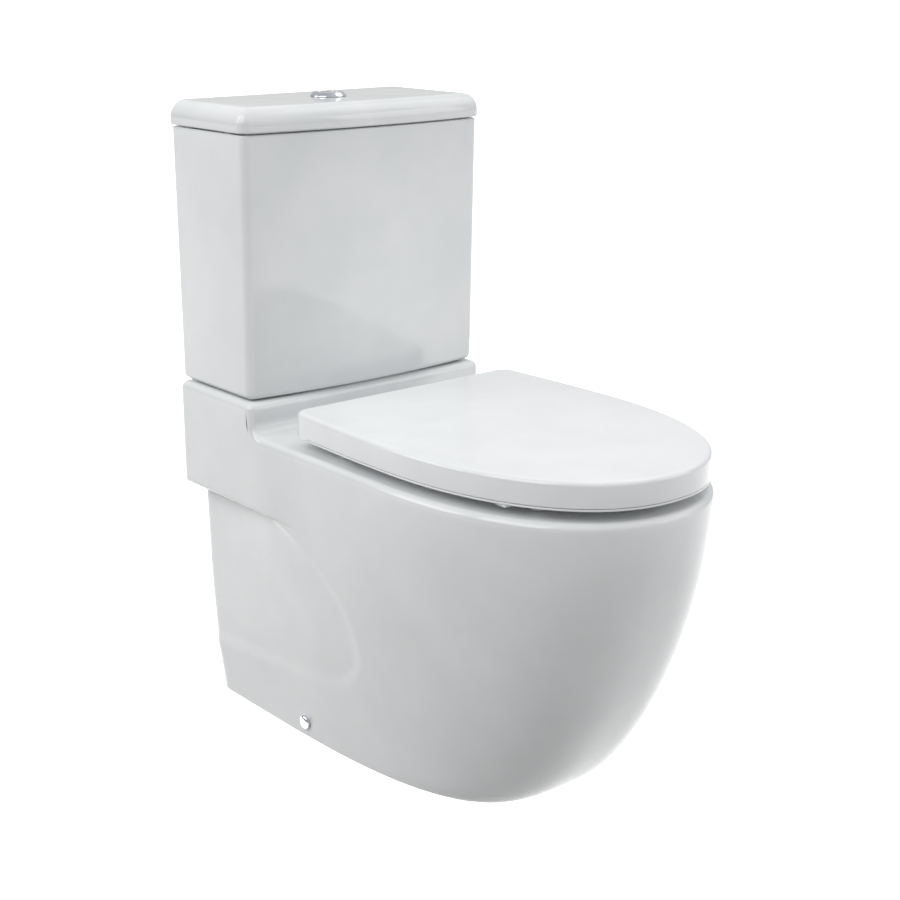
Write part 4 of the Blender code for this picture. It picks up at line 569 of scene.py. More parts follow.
def skinHeights():
    # rows from the floor to the shelf's underside, round the undercut, and on to where the rim starts:
    # height, kind of side, share round the undercut's fillet or edge, and inset of the foot's edge
    p = panForm
    footTurn = quarterTurn(4)
    foot = p["footEdge"] * (1 - np.cos(footTurn))
    lowest, filletStart = p["footEdge"], p["shelfUnder"] - p["underFillet"]
    low = np.linspace(0, 1, 66)[1:-1] ** 1.12 * (filletStart - lowest) + lowest
    share = np.linspace(0, 1, 6)
    turn = share * np.pi / 2
    fillet = p["shelfUnder"] - p["underFillet"] * (1 - np.sin(turn))
    edge = p["shelfUnder"] + p["underEdge"] * (1 - np.cos(turn))
    high = np.linspace(edge[-1], p["sideTop"], 7)[1:]
    plainCount = len(foot) + len(low)
    heights = np.concatenate([foot, low, fillet, edge, high])
    kinds = np.concatenate([np.zeros(plainCount + len(fillet)), np.ones(len(edge) + len(high))])
    shares = np.concatenate([np.zeros(plainCount), share, share, np.ones(len(high))])
    insets = np.zeros(len(heights))
    insets[:len(foot)] = p["footEdge"] * (1 - np.sin(footTurn))
    return column(heights), column(kinds), column(shares), column(insets)


def shelfProfile():
    # the top line of the pan's side as (reach, height, normal): along the shelf, over its front edge,
    # down its front, through the hollow fillet and forward along the rim
    p = panForm
    rear = p["rearCorner"] * (1 - np.cos(quarterTurn(6)))
    top = np.linspace(p["rearCorner"], p["shelfReach"] - p["shelfEdge"], 12)[1:]
    flat = np.concatenate([rear, top])
    line = np.stack([flat, np.full_like(flat, p["shelfTop"]) - cornerLoss(flat, p["rearEdge"])], -1)
    up = np.tile([0.0, 1.0], (len(line), 1))
    turn = column(quarterTurn(7)[1:])
    arc = np.hstack([np.sin(turn), np.cos(turn)])
    corner = np.array([p["shelfReach"] - p["shelfEdge"], p["shelfTop"] - p["shelfEdge"]])
    front = corner + p["shelfEdge"] * arc
    turn = column(quarterTurn(8))
    hollow = np.hstack([np.cos(turn), np.sin(turn)])
    middle = np.array([p["shelfReach"] + p["stepFillet"], p["rimHeight"] + p["stepFillet"]])
    fillet = middle - p["stepFillet"] * hollow
    rim = np.linspace(middle[0], p["rimStraight"], 34)[1:]
    rim = np.stack([rim, np.full_like(rim, p["rimHeight"])], -1)
    spots = np.vstack([line, front, fillet, rim])
    normals = np.vstack([up, arc, hollow, np.tile([0.0, 1.0], (len(rim), 1))])
    edgeSize = p["shelfEdge"] + (p["rimEdge"] - p["shelfEdge"]) * \
        smoothStep((np.arange(len(spots)) - len(line) - len(front)) / len(fillet))
    return spots, normals, edgeSize, len(line) + len(front) + len(fillet) - 1, len(rear)


def panSkin():
    # columns: the straight side at shares of its length, then the superellipse at even polar angles
    # (halfWidth cos a / N, length sin a / N, with N the superellipse norm of the two)
    p = panForm
    spots, normals, edgeSize, lastStep, rearCount = shelfProfile()
    straightCount, pinRow = len(spots), 17
    z, kinds, shares, insets = skinHeights()
    reach, halfWidth, squareness, straight = panLevel(z)
    topStraight = panLevel(z[-1])[3][0]
    base = np.interp(np.arange(straightCount), [0, rearCount - 1, pinRow, lastStep, straightCount - 1],
                     [0, p["rearCorner"], p["shelfPin"], p["stepPin"], topStraight])
    base[:rearCount] = spots[:rearCount, 0]
    share = (base - p["rearCorner"]) / (topStraight - p["rearCorner"])
    side = np.where(np.arange(straightCount) < rearCount, base + 0 * z,
                    p["rearCorner"] + np.maximum(share, 0) * (straight - p["rearCorner"]))
    sideX = undercutSide(side, halfWidth, z, kinds, shares) - insets
    angle = quarterTurn(112)[None, 1:]
    across, along = superellipse(angle, squareness)
    frontReach = straight + (reach - insets - straight) * along
    plain = halfWidth * across
    frontX = np.where(frontReach < p["panelLimit"], undercutSide(frontReach, plain, z, kinds, shares), plain)
    frontX = frontX - insets * across
    frontX[:, -1] = 0.0
    lower = np.concatenate([place(sideX, side, z), place(frontX, frontReach, z)], axis=1)

    # rows above: straight lines in the side plane up to the rounded top edge's start
    start = spots - column(edgeSize) * normals
    rise = column(np.linspace(0, 1, 13)[1:])
    upReach = side[-1:] + (start[None, :, 0] - side[-1:]) * rise
    upZ = z[-1] + (start[None, :, 1] - z[-1]) * rise
    upX = besideShelf(upReach, panLevel(upZ)[1])
    rimStart = p["rimHeight"] - p["rimEdge"]
    frontZ = z[-1] + (rimStart - z[-1]) * rise
    reach, halfWidth, squareness, straight = panLevel(frontZ)
    across, along = superellipse(angle, squareness)
    upFront = place(halfWidth * across, straight + (reach - straight) * along, frontZ)
    upper = np.concatenate([place(upX, upReach, upZ), upFront], axis=1)

    # the rounded top edge: x falls by r(1 - cos f) and the point moves by r sin f along the normal
    turn = column(quarterTurn(9)[1:])
    arcX = upX[-1:] - edgeSize * (1 - np.cos(turn))
    arcReach = start[None, :, 0] + edgeSize * np.sin(turn) * normals[None, :, 0]
    arcZ = start[None, :, 1] + edgeSize * np.sin(turn) * normals[None, :, 1]
    inset = p["rimEdge"] * (1 - np.cos(turn))
    reach, halfWidth, squareness, straight = panLevel(np.array(p["rimHeight"]))
    across, along = superellipse(angle, squareness)
    arcFront = place((halfWidth - inset) * across, straight + (reach - inset - straight) * along,
                     rimStart + p["rimEdge"] * np.sin(turn))
    edge = np.concatenate([place(arcX, arcReach, arcZ), arcFront], axis=1)
    skin = bothSides(np.concatenate([lower, upper, edge]))

    # the shelf's top, front and fillet as lines across between the two top edges
    edgeLine = edge[-1][:lastStep + 1, None]
    acrossShare = np.linspace(1, -1, 49)[None, :, None]
    sheet = edgeLine * np.array([0, 1, 1]) + edgeLine * np.array([1, 0, 0]) * acrossShare
    loop = np.concatenate([skin[-1][lastStep:len(skin[-1]) - lastStep], sheet[-1, ::-1][1:-1]])
    rearLoop = np.concatenate([skin[:, 0], sheet[0, 1:-1], skin[::-1, -1]])
    return skin, sheet, loop, rearLoop


def bowlOval(angle, halfWidth, rear, front, z):
    # the bowl's outline between two reaches
    b = bowlForm
    centre = rear + (front - rear) * b["middle"]
    return ovalPoints(angle, halfWidth, centre - rear, front - centre, centre, z, b["squareness"])


def bowlSections(up):
    # with u from 0 in the sump to 1 at the rim channel: width, rear and front open out by powers of u
    b = bowlForm
    wide, rear, front = b["halfWidth"] + b["channel"], b["rear"] - b["channel"], b["front"] + b["channel"]
    across = b["sumpWidth"] + (1 - b["sumpWidth"]) * up ** b["sidePower"]
    back = b["sumpWidth"] + (1 - b["sumpWidth"]) * up ** b["rearPower"]
    ahead = b["sumpFront"] + (1 - b["sumpFront"]) * up ** b["frontPower"]
    return (wide * across, b["sumpReach"] - (b["sumpReach"] - rear) * back,
            b["sumpReach"] + (front - b["sumpReach"]) * ahead,
            b["sumpBottom"] + (b["channelFloor"] - b["sumpBottom"]) * up)


def bowlInside(loop):
    # the flat rim from its outer loop to the mouth, then the mouth's edge, the inner wall, the lip, the
    # channel above the bowl, and the bowl down to a dished sump
    p, b = panForm, bowlForm
    middle = b["rear"] + (b["front"] - b["rear"]) * b["middle"]
    angle = np.arctan2(loop[:, 0], (wallY - loop[:, 1]) - middle)[None, :]
    edge, lip = b["mouthEdge"], b["lipHeight"]
    profile = filletPath([(edge * 1.5, p["rimHeight"]), (0, p["rimHeight"], edge), (0, lip, b["lipEdge"]),
                          (b["channel"], lip, b["lipEdge"]), (b["channel"], b["channelFloor"])], 8)
    grow, height = column(profile[:, 0]), column(profile[:, 1])
    mouth = bowlOval(angle, b["halfWidth"] + grow, b["rear"] - grow, b["front"] + grow, height)
    shares = np.array([0.0, 0.02, 0.2, 0.4, 0.6, 0.8])[:, None, None]
    deck = loop[None] + (mouth[:1] - loop[None]) * shares
    bowl = bowlOval(angle, *bowlSections(column(np.linspace(1, 0, 44)[1:] ** 1.7)))
    return np.concatenate([deck, mouth, bowl])


def panLoops(z, inset, rear, ringZ):
    # closed loops of the pan's outline, inset by a wall, with the rear carried past the wall plane
    z, ringZ = column(z), column(ringZ)
    reach, halfWidth, squareness, straight = panLevel(z)
    share = np.linspace(0, 1, 40)[None, :] ** 1.7
    side = rear + (straight - rear) * share
    shelf = z >= panForm["shelfUnder"] - 1e-9
    near = np.maximum(side, 0.0)
    sideX = np.where(shelf, besideShelf(near, halfWidth), belowShelf(near, halfWidth, z)) - inset
    across, along = superellipse(quarterTurn(48)[None, 1:], squareness)
    frontReach = straight + (reach - inset - straight) * along
    plain = halfWidth * across
    panelled = np.where(shelf | (frontReach > panForm["panelLimit"]), plain, belowShelf(frontReach, plain, z))
    frontX = np.maximum(panelled - inset * across, 0)
    return bothSides(np.concatenate([place(sideX, side, ringZ), place(frontX, frontReach, ringZ)], axis=1))


def tubeForm(name, path, radius, steps=48):
    # circles of that radius square to a path of (reach, height) points in the plane of symmetry
    along = np.gradient(path, axis=0)
    along /= np.linalg.norm(along, axis=1, keepdims=True)
    angle = np.linspace(0, 2 * np.pi, steps, endpoint=False)[None, :]
    reach = path[:, :1] - along[:, 1:] * radius * np.cos(angle)
    z = path[:, 1:] + along[:, :1] * radius * np.cos(angle)
    return loftPiece(name, place(radius * np.sin(angle), reach, z))


def trapLine(extend=0.0):
    # from the sump, down and round, up over the weir and back down to the outlet spigot
    b, q = bowlForm, trapForm
    end, outlet = q["outletReach"], q["outletHeight"]
    low = b["sumpBottom"] + q["bore"] - q["dip"]
    rise, run = outlet + q["weir"] - low, b["sumpReach"] - end
    climb, fall = np.array(q["climb"]), np.array(q["fall"])
    spots = np.vstack([np.stack([b["sumpReach"] - run * climb[:, 0], low + rise * climb[:, 1]], -1),
                       fall + [end, outlet]])
    return np.vstack([splinePath(spots, 64), [(end - extend, outlet)]])


def panHollow(gasketRadius, valveReach):
    # the outline inset by the wall, with a block up into the shelf, less the bowl, the trapway and the
    # way of the flush water, each with a wall of its own
    p, b, f = panForm, bowlForm, hollowForm
    under, wall = p["shelfUnder"], p["wall"]
    shapes, ledge = np.array(f["levels"]) * under, under - f["ledge"]
    levels = np.concatenate([shapes, [ledge, under, p["rimUnder"]]])
    ringLevels = np.concatenate([[f["below"]], shapes[1:], [ledge + wall * 0.9, under + wall, p["rimUnder"]]])
    hollow = loftPiece("panHollow", panLoops(levels, wall, f["behind"], ringLevels))
    inside = p["shelfSide"] + touch - wall
    upper = roundBlock("shelfHollow", place(-inside, f["behind"], p["rimUnder"] - f["overlap"]),
                       place(inside, p["shelfReach"] - wall, p["shelfTop"] - p["shelfThickness"]), f["edge"])
    up = np.append(np.linspace(0, 1, 30) ** 1.7, 1.0)
    halfWidth, rear, front, z = bowlSections(column(up))
    angle = np.linspace(0, 2 * np.pi, 120, endpoint=False)[None, :]
    bowlWall = p["bowlWall"]
    drop = np.full((len(up), 1), bowlWall * 0.4)
    drop[0] = bowlWall
    drop[-1] -= b["lipHeight"] + bowlWall / 2 - b["channelFloor"]
    bowlShell = loftPiece("bowlShell", bowlOval(angle, halfWidth + bowlWall, rear - bowlWall,
                                                front + bowlWall, z - drop))
    trapShell = tubeForm("trapShell", trapLine(), trapForm["outside"], 56)
    floor = b["channelFloor"] - f["duct"]
    mass = roundBar("flushMass", gasketRadius + f["duct"], floor, p["shelfTop"] - 0.002,
                    (0, wallY - valveReach, 0), steps=72)
    outside = f["ductHalfWidth"] + f["duct"]
    ductMass = roundBlock("ductMass", place(-outside, valveReach, floor + 0.001),
                          place(outside, b["rear"] - b["channel"] - 0.003, p["rimHeight"] - 0.008),
                          f["ductEdge"])
    return carve(hollow, ("join", upper), ("cut", bowlShell, trapShell, mass, ductMass))


def panHoles(valveY):
    # bores for the coupling bolts, the hinge studs, the side screws and the inlet's backnut
    f = hollowForm
    holes = []
    for side, sign in sides:
        bolt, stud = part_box(f"coupling_bolt_{side}"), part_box(f"hinge_stud_{side}")
        boltX, studX = (bolt[0].x + bolt[1].x) / 2, (stud[0].x + stud[1].x) / 2
        studY = (stud[0].y + stud[1].y) / 2
        for name, cut, x, y in (("bolt", "shelfCut", boltX, valveY), ("stud", "rimCut", studX, studY)):
            holes.append(roundBar(f"{name}Hole_{side}", f["stemBore"], *f[cut], (x, y, 0), steps=32))
        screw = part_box(f"foot_screw_{side}")
        middle = (screw[0] + screw[1]) / 2
        spot = (sign * panForm["footHalfWidth"], middle.y, middle.z)
        holes.append(roundBar(f"screwHole_{side}", f["screwBore"], -f["screwDepth"], f["screwDepth"], spot,
                              "x", steps=24))
    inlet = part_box("fill_valve_backnut")
    inletX, inletRadius = (inlet[0].x + inlet[1].x) / 2, (inlet[1].x - inlet[0].x) / 2 + 2 * runningGap
    holes.append(roundBar("inletHole", inletRadius, *f["shelfCut"], (inletX, valveY, 0)))
    return holes


def makePan():
    # the closed skin, less the hollow, the trapway and the bores
    b, f = bowlForm, hollowForm
    skin, sheet, loop, rearLoop = panSkin()
    bowl = bowlInside(loop)
    pan = meshPiece("panBody", [gridPatch(skin), gridPatch(sheet), gridPatch(bowl, True),
                                polePatch(bowl[-1], -b["sumpDish"]), facePatch(skin[0]), facePatch(rearLoop)])
    low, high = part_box("coupling_gasket")
    valveY, gasketRadius = (low.y + high.y) / 2, (high.x - low.x) / 2
    centre, valveReach = (0.0, valveY, 0.0), wallY - valveY
    hollow = panHollow(gasketRadius, valveReach)
    holes = panHoles(valveY)
    trapSpace = tubeForm("trapSpace", trapLine(trapForm["boreEnd"]), trapForm["bore"])
    seat = roundBar("gasketSeat", gasketRadius + runningGap, low.z - touch, f["seatTop"], centre, steps=72)
    dropBore = roundBar("flushDrop", f["dropBore"], b["channelFloor"], f["dropTop"], centre, steps=60)
    ductEnd = b["rear"] - b["channel"] + 0.004
    ductBore = roundBlock("flushDuct", place(-f["ductHalfWidth"], valveReach, b["channelFloor"] + 0.001),
                          place(f["ductHalfWidth"], ductEnd, b["lipHeight"] - 0.001), f["ductEdge"])
    pan = carve(pan, ("cut", hollow, trapSpace, seat, dropBore, ductBore, *holes))
    return finishPiece(pan, "toilet", china, "ceramic", "pan")


makePan()
print("pan done")


# Cistern and lid

cisternForm = {
    "halfWidth": 0.1825, "reach": 0.166, "base": 0.4425, "top": 0.7675, "floor": 0.012, "wall": 0.009,
    "taperSide": 0.0008, "taperFront": 0.008, "bow": 0.012, "frontCorner": 0.012, "rearCorner": 0.006,
    "baseEdge": 0.008, "topEdge": 0.0022, "insideFillet": 0.006, "sideRows": (0.47, 0.75, 9),
    "boreSlack": 0.0015, "valveBore": 0.031, "inletBore": 0.010, "boltBore": 0.004,
    "inletX": 0.125,
}
lidForm = {
    "base": 0.7705, "top": 0.7995, "overhang": 0.003, "edge": 0.020, "edgeDrop": 0.0225, "arris": 0.0025,
    "lip": 0.0011, "lipStart": 0.0020, "lipEnd": 0.0010, "rearEdge": 0.004, "buttonBore": 0.0193,
    "ceiling": 0.7875, "ribDepth": 0.008, "ribWall": 0.005, "ribGap": 0.0025, "ribFillet": 0.0015,
}


def bowedLoops(halfWidth, reach, frontCorner, z, inset, rearLimit=1.0):
    # rectangle whose front bows out by bow(1 - (x/start)^2); each front corner is an arc that meets the
    # side and the bow without a kink, and the rear corners are small arcs; the rear line steps in by the
    # inset, up to its limit
    c = cisternForm
    rearLine = np.minimum(inset, rearLimit)
    halfWidth, reach = halfWidth - inset, reach - inset
    front = np.maximum(frontCorner - inset, 0.003) + 0 * halfWidth
    rear = np.maximum(c["rearCorner"] - inset, 0.002) + 0 * halfWidth
    start = halfWidth - front
    turn = np.full_like(halfWidth, 1.45)
    for _ in range(6):  # the arc ends where its tangent has the bow's slope
        x1 = start + front * np.cos(turn)
        turn = np.pi / 2 - np.arctan(2 * c["bow"] * x1 / start**2)
    centre = reach + c["bow"] * (1 - (x1 / start) ** 2) - front * np.sin(turn)
    back = quarterTurn(6)[None, :]
    round1 = turn * np.linspace(0, 1, 11)[None, :]
    across = x1 * (1 - np.linspace(0, 1, 25)[None, 1:])
    x = [halfWidth - rear * (1 - np.sin(back)), start + front * np.cos(round1), across]
    at = [rearLine + rear * (1 - np.cos(back)), centre + front * np.sin(round1),
          reach + c["bow"] * (1 - (across / start) ** 2)]
    return bothSides(place(np.concatenate(x, axis=1), np.concatenate(at, axis=1), z))


def cisternLoops(z, inset, ringZ=None):
    # the body tapers evenly from its top down to its base
    c = cisternForm
    z, inset = column(z), column(inset)
    down = (c["top"] - z) / (c["top"] - c["base"])
    return bowedLoops(c["halfWidth"] - c["taperSide"] * down, c["reach"] - c["taperFront"] * down,
                      c["frontCorner"], z if ringZ is None else column(ringZ), inset)


def makeCistern():
    # one wall thickness all round: up the outside, over the top edge, down the inside and across the floor
    c = cisternForm
    innerFloor = c["base"] + c["floor"]
    profile = filletPath([(c["baseEdge"] * 1.4, c["base"]), (0, c["base"], c["baseEdge"]),
                          (0, c["top"], c["topEdge"]), (c["wall"], c["top"], c["topEdge"]),
                          (c["wall"], innerFloor, c["insideFillet"]), (c["wall"] + 0.012, innerFloor)], 7)
    baseCount = 9  # the base edge's points; the plain rows of the side follow them
    body = [(0, z) for z in np.linspace(*c["sideRows"])]
    profile = np.vstack([profile[:baseCount], body, profile[baseCount:]])
    tank = loftPiece("cisternBody", cisternLoops(profile[:, 1], profile[:, 0]))
    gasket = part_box("coupling_gasket")
    y = gasket[0].y / 2 + gasket[1].y / 2
    holes = []
    for node, bore in (("flush_valve_base", "valveBore"), ("fill_valve_body", "inletBore"),
                       ("coupling_bolt_left", "boltBore"), ("coupling_bolt_right", "boltBore")):
        low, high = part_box(node)
        x = c["inletX"] if node == "fill_valve_body" else ((low + high) / 2).x
        holes.append(roundBar(f"hole_{node}", c[bore] + c["boreSlack"], c["base"] - 0.02, innerFloor + 0.02,
                              (x, y, 0), steps=64))
    return finishPiece(carve(tank, ("cut", *holes)), "toilet", china, "ceramic", "cistern")


def makeLid():
    # the rib drops inside the cistern's wall, a thin lip runs round under the edge, and a quarter
    # ellipse rounds the top edge
    c, p = cisternForm, lidForm
    rib = c["wall"] + p["ribGap"]
    pocket, ribEnd = rib + p["ribWall"], c["top"] - p["ribDepth"]
    under = filletPath([(pocket + 0.012, p["ceiling"]), (pocket, p["ceiling"], p["ribFillet"] * 2),
                        (pocket, ribEnd, p["ribFillet"]), (rib, ribEnd, p["ribFillet"]),
                        (rib, p["base"], p["ribFillet"]), (p["lipStart"], p["base"]),
                        (p["lipEnd"], p["base"] - p["lip"])], 5)
    turn = quarterTurn(5)
    arris = np.stack([p["arris"] * (1 - np.sin(turn)),
                      p["base"] - p["lip"] + p["arris"] * (1 - np.cos(turn))], -1)
    turn = quarterTurn(16)
    sideTop = p["top"] - p["edgeDrop"]
    crown = np.stack([p["edge"] * (1 - np.cos(turn)), sideTop + p["edgeDrop"] * np.sin(turn)], -1)
    outer = np.vstack([arris, crown])
    lower = cisternLoops(np.full(len(under), c["top"]), under[:, 0], under[:, 1])
    halfWidth, reach, corner = (c[key] + p["overhang"] for key in ("halfWidth", "reach", "frontCorner"))
    rows = np.ones((len(outer), 1))
    upper = bowedLoops(halfWidth * rows, reach * rows, corner, column(outer[:, 1]), column(outer[:, 0]),
                       p["rearEdge"])
    grid = np.concatenate([lower, upper])
    lid = meshPiece("cisternLid", [gridPatch(grid, True), polePatch(grid[0]), polePatch(grid[-1])])
    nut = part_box("button_nut")
    y = (nut[0].y + nut[1].y) / 2
    hole = roundBar("buttonHole", p["buttonBore"] + runningGap, p["ceiling"] - 0.02, p["top"] + 0.02,
                    (0, y, 0), steps=72)
    return finishPiece(carve(lid, ("cut", hole)), "lid", china, "ceramic", "cistern_lid")


makeCistern()
makeLid()
print("cistern and lid done")


# Seat and cover

coverForm = {
    "halfWidth": 0.178, "narrowing": 0.007, "widest": 0.420, "front": 0.7035, "rear": 0.234,
    "squareness": 2.22, "corner": 0.018, "base": 0.4164, "top": 0.4465, "wall": 0.0055, "edge": 0.0062,
    "lowEdge": 0.0011, "crown": 0.0007, "notchMargin": 0.003, "armHalfDepth": 0.0075,
    "skirtDrop": 0.0036, "skirtReach": 0.257, "skirtBlend": 0.009, "tightest": 0.004, "insideEdge": 0.004,
    "notchEdge": 0.0015, "armEdge": 0.001,
}
seatForm = {
    "rear": 0.2685, "corner": 0.005, "base": 0.413, "flange": 0.0028, "top": 0.434, "nest": 0.007,
    "openingHalfWidth": 0.103, "openingRear": 0.325, "openingFront": 0.640, "openingSquareness": 2.2,
    "openingMiddle": 0.40, "tabX": -0.140, "tabReach": 0.586, "tabDrop": 0.0035, "tabLength": 0.016,
    "tabWidth": 0.014, "tabEdge": 0.0016, "armEdge": 0.0012,
}
hingeForm = {
    "spacing": 0.155, "reach": 0.250, "height": 0.4295, "pin": 0.004, "knuckle": 0.0085,
    "knuckleWidth": 0.018, "lug": 0.0076, "lugWidth": 0.014, "lugEdge": 0.0006, "plateRadius": 0.016,
    "plateTop": 0.404,
    "plateCrown": 0.010, "plateDrop": 0.0012, "neckHalfDepth": 0.006, "neckEdge": 0.0012,
    "knuckleEdge": 0.0008, "studBore": 0.004, "studBoreStart": 0.390,
}


def coverLoops(z, inset, rear, corner):
    # rear line, round corner, a side that widens by n(1 - ((widest - reach)/span)^2) taken off, and a
    # superellipse front at even polar angles
    p = coverForm
    z, inset = column(z), column(inset)
    back = rear + inset
    radius = np.maximum(corner - inset, p["tightest"])
    turn = quarterTurn(9)[None, :]
    line = np.linspace(0, 1, 9)[None, :-1]
    share = np.linspace(0, 1, 22)[None, 1:-1]
    cornerReach = back + radius * (1 - np.cos(turn))
    sideReach = back + radius + (p["widest"] - back - radius) * share

    def sideX(reach):
        behind = np.maximum(0.0, (p["widest"] - reach) / (p["widest"] - p["rear"]))
        return p["halfWidth"] - p["narrowing"] * behind**2 - inset

    cornerX = sideX(cornerReach) - radius * (1 - np.sin(turn))
    across, along = superellipse(quarterTurn(72)[None, :], p["squareness"])
    frontX = (p["halfWidth"] - inset) * across
    frontReach = p["widest"] + (p["front"] - inset - p["widest"]) * along
    x = np.concatenate([cornerX[:, :1] * line, cornerX, sideX(sideReach), frontX], 1)
    reach = np.concatenate([back + 0 * line, cornerReach, sideReach, frontReach], 1)
    right = place(x, reach, z)
    left = right[:, -2:0:-1] * np.array([-1, 1, 1])  # the rear middle belongs to both halves, so once only
    return np.concatenate([right, left], axis=1)


def openingLoops(z, grow, outer):
    # polar superellipse of the seat's opening, one point on the ray to each point of the outer loop
    p = seatForm
    z, grow = column(z), column(grow)
    middle = p["openingRear"] + (p["openingFront"] - p["openingRear"]) * p["openingMiddle"]
    angle = np.arctan2(outer[:, 0], (wallY - outer[:, 1]) - middle)[None, :]
    behind, ahead = grow + (middle - p["openingRear"]), grow + (p["openingFront"] - middle)
    return ovalPoints(angle, p["openingHalfWidth"] + grow, behind, ahead, middle, z, p["openingSquareness"])


def hingeX(sign, offset=0.0):
    # half the spacing plus an offset outwards, on the side of that sign
    return sign * (hingeForm["spacing"] / 2 + offset)


def axisBar(name, radius, x, halfLength, edge=0.0):
    # a round bar along the hinge axis
    h = hingeForm
    centre = (0, wallY - h["reach"], h["height"])
    return roundBar(name, radius, x - halfLength, x + halfLength, centre, "x", edge)


def makeCover():
    # a shell of even wall: its skirt hangs lower behind the seat, its middle is crowned, and two arms
    # drop inside it to lugs on the hinge axis, beside a notch for each hinge post
    p, h = coverForm, hingeForm
    ceiling, low = p["top"] - p["wall"], p["lowEdge"]
    edgeTop = p["top"] - p["crown"]
    inside = filletPath([(p["wall"] + 0.012, ceiling), (p["wall"], ceiling, p["insideEdge"]),
                         (p["wall"], p["base"], low), (0, p["base"], low), (0, edgeTop, p["edge"]),
                         (p["edge"] * 1.3, edgeTop)], 9)
    grid = coverLoops(inside[:, 1], inside[:, 0], p["rear"], p["corner"])
    behindSeat = 1 - smoothStep((wallY - grid[..., 1] - p["skirtReach"]) / p["skirtBlend"])
    grid[..., 2] -= np.where(grid[..., 2] < p["base"] + 2 * low, p["skirtDrop"] * behindSeat, 0.0)
    cover = meshPiece("coverShell", [gridPatch(grid, True), polePatch(grid[0], 0.0, 10),
                                     polePatch(grid[-1], p["crown"], 14)])
    notches, arms, lugs, bores = [], [], [], []
    half, halfLug, halfDepth = h["knuckleWidth"] / 2, h["lugWidth"] / 2, p["armHalfDepth"]
    wide = half + p["notchMargin"]
    for side, sign in sides:
        x, lugX = hingeX(sign), hingeX(sign, -(half + runningGap + h["lugWidth"] / 2))
        notches.append(roundBlock(f"notch_{side}", place(x - wide, p["rear"] - 0.010, p["base"] - 0.010),
                                  place(x + wide, p["rear"] + p["wall"] + 0.001, ceiling), p["notchEdge"]))
        arms.append(roundBlock(f"arm_{side}", place(lugX - halfLug, h["reach"] - halfDepth, h["height"]),
                               place(lugX + halfLug, h["reach"] + halfDepth, ceiling + 0.001), p["armEdge"]))
        lugs.append(axisBar(f"lug_{side}", h["lug"], lugX, halfLug, h["lugEdge"]))
        bores.append(axisBar(f"bore_{side}", h["pin"] + touch, lugX, h["lugWidth"] * 0.7))
    cover = carve(cover, ("cut", *notches), ("join", *arms, *lugs), ("cut", *bores))
    return finishPiece(cover, "cover", duroplast, "seat_plastic", "seat_cover")


def makeSeat():
    # a ring from the cover's outline in to the opening, closed by rows at even shares between the two;
    # its rim is a thin flange that the cover's skirt meets, and a finger tab hangs under its left side
    p, h = seatForm, hingeForm
    nest, base, top, flange = p["nest"], p["base"], p["top"], p["base"] + p["flange"]
    outer = filletPath([(0.012, base), (0.0006, base, 0.0014), (touch, flange, 0.0009),
                        (nest, flange, 0.0008), (nest, top, 0.0042), (nest + 0.016, top)], 7)
    inner = filletPath([(0.020, top), (0, top - 0.0004, 0.008), (0, base, 0.0035), (0.012, base)], 9)
    outerLoops = coverLoops(outer[:, 1], outer[:, 0], p["rear"], p["corner"])
    guide = coverLoops([top], [0.0], p["rear"], p["corner"])[0]
    innerLoops = openingLoops(inner[:, 1], inner[:, 0], guide)
    share = np.linspace(0, 1, 7)[1:-1, None, None]
    across = outerLoops[-1] + (innerLoops[0] - outerLoops[-1]) * share
    seat = meshPiece("seatRing", [gridPatch(np.concatenate([outerLoops, across, innerLoops]), True, True)])
    arms, lugs, bores = [], [], []
    halfLug = h["lugWidth"] / 2
    halfArm = halfLug - touch
    for side, sign in sides:
        x = hingeX(sign, h["knuckleWidth"] / 2 + runningGap + halfLug)
        low = place(x - halfArm, h["reach"], h["height"] - h["pin"] - 0.003)
        high = place(x + halfArm, p["rear"] + p["flange"] + nest, top - 0.003)
        arms.append(roundBlock(f"seatArm_{side}", low, high, p["armEdge"]))
        lugs.append(axisBar(f"seatLug_{side}", h["lug"], x, halfLug, h["lugEdge"]))
        bores.append(axisBar(f"seatBore_{side}", h["pin"] + touch, x, h["lugWidth"] * 0.7))
    x, reach, halfWidth, halfLength = p["tabX"], p["tabReach"], p["tabWidth"] / 2, p["tabLength"] / 2
    tab = roundBlock("fingerTab", place(x - halfWidth, reach - halfLength, base - p["tabDrop"]),
                     place(x + halfWidth, reach + halfLength, base + 0.0012), p["tabEdge"])
    seat = carve(seat, ("join", *arms, *lugs, tab), ("cut", *bores))
    return finishPiece(seat, "seat", duroplast, "seat_plastic", "seat_ring")


bufferForm = {  # foot rise, foot bend and bend steps of the pads under the seat and under the cover
    "seat": (0.0006, 0.003, 8), "cover": (0.0004, 0.002, 6), "topShare": 0.86,
}


def makeBuffers():
    # soft feet: a rounded pad whose sides lean in to its top
    for side, _ in sides:
        for body, node in (("seat", f"seat_buffer_rear_{side}"), ("seat", f"seat_buffer_front_{side}"),
                           ("cover", f"cover_buffer_{side}")):
            rise, bend, steps = bufferForm[body]
            low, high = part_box(node)
            middle, radius = (low + high) / 2, (high.x - low.x) / 2
            profile = filletPath([(0, low.z), (radius, low.z + rise, bend),
                                  (radius * bufferForm["topShare"], high.z), (0, high.z)], steps)
            name = node.replace("_buffer", "Buffer", 1)
            pad = turnedPiece(name, profile, (middle.x, middle.y, 0))
            finishPiece(pad, body, elastomer, "soft_white", node)


makeCover()
makeSeat()
makeBuffers()
print("seat and cover done")


# Flush button

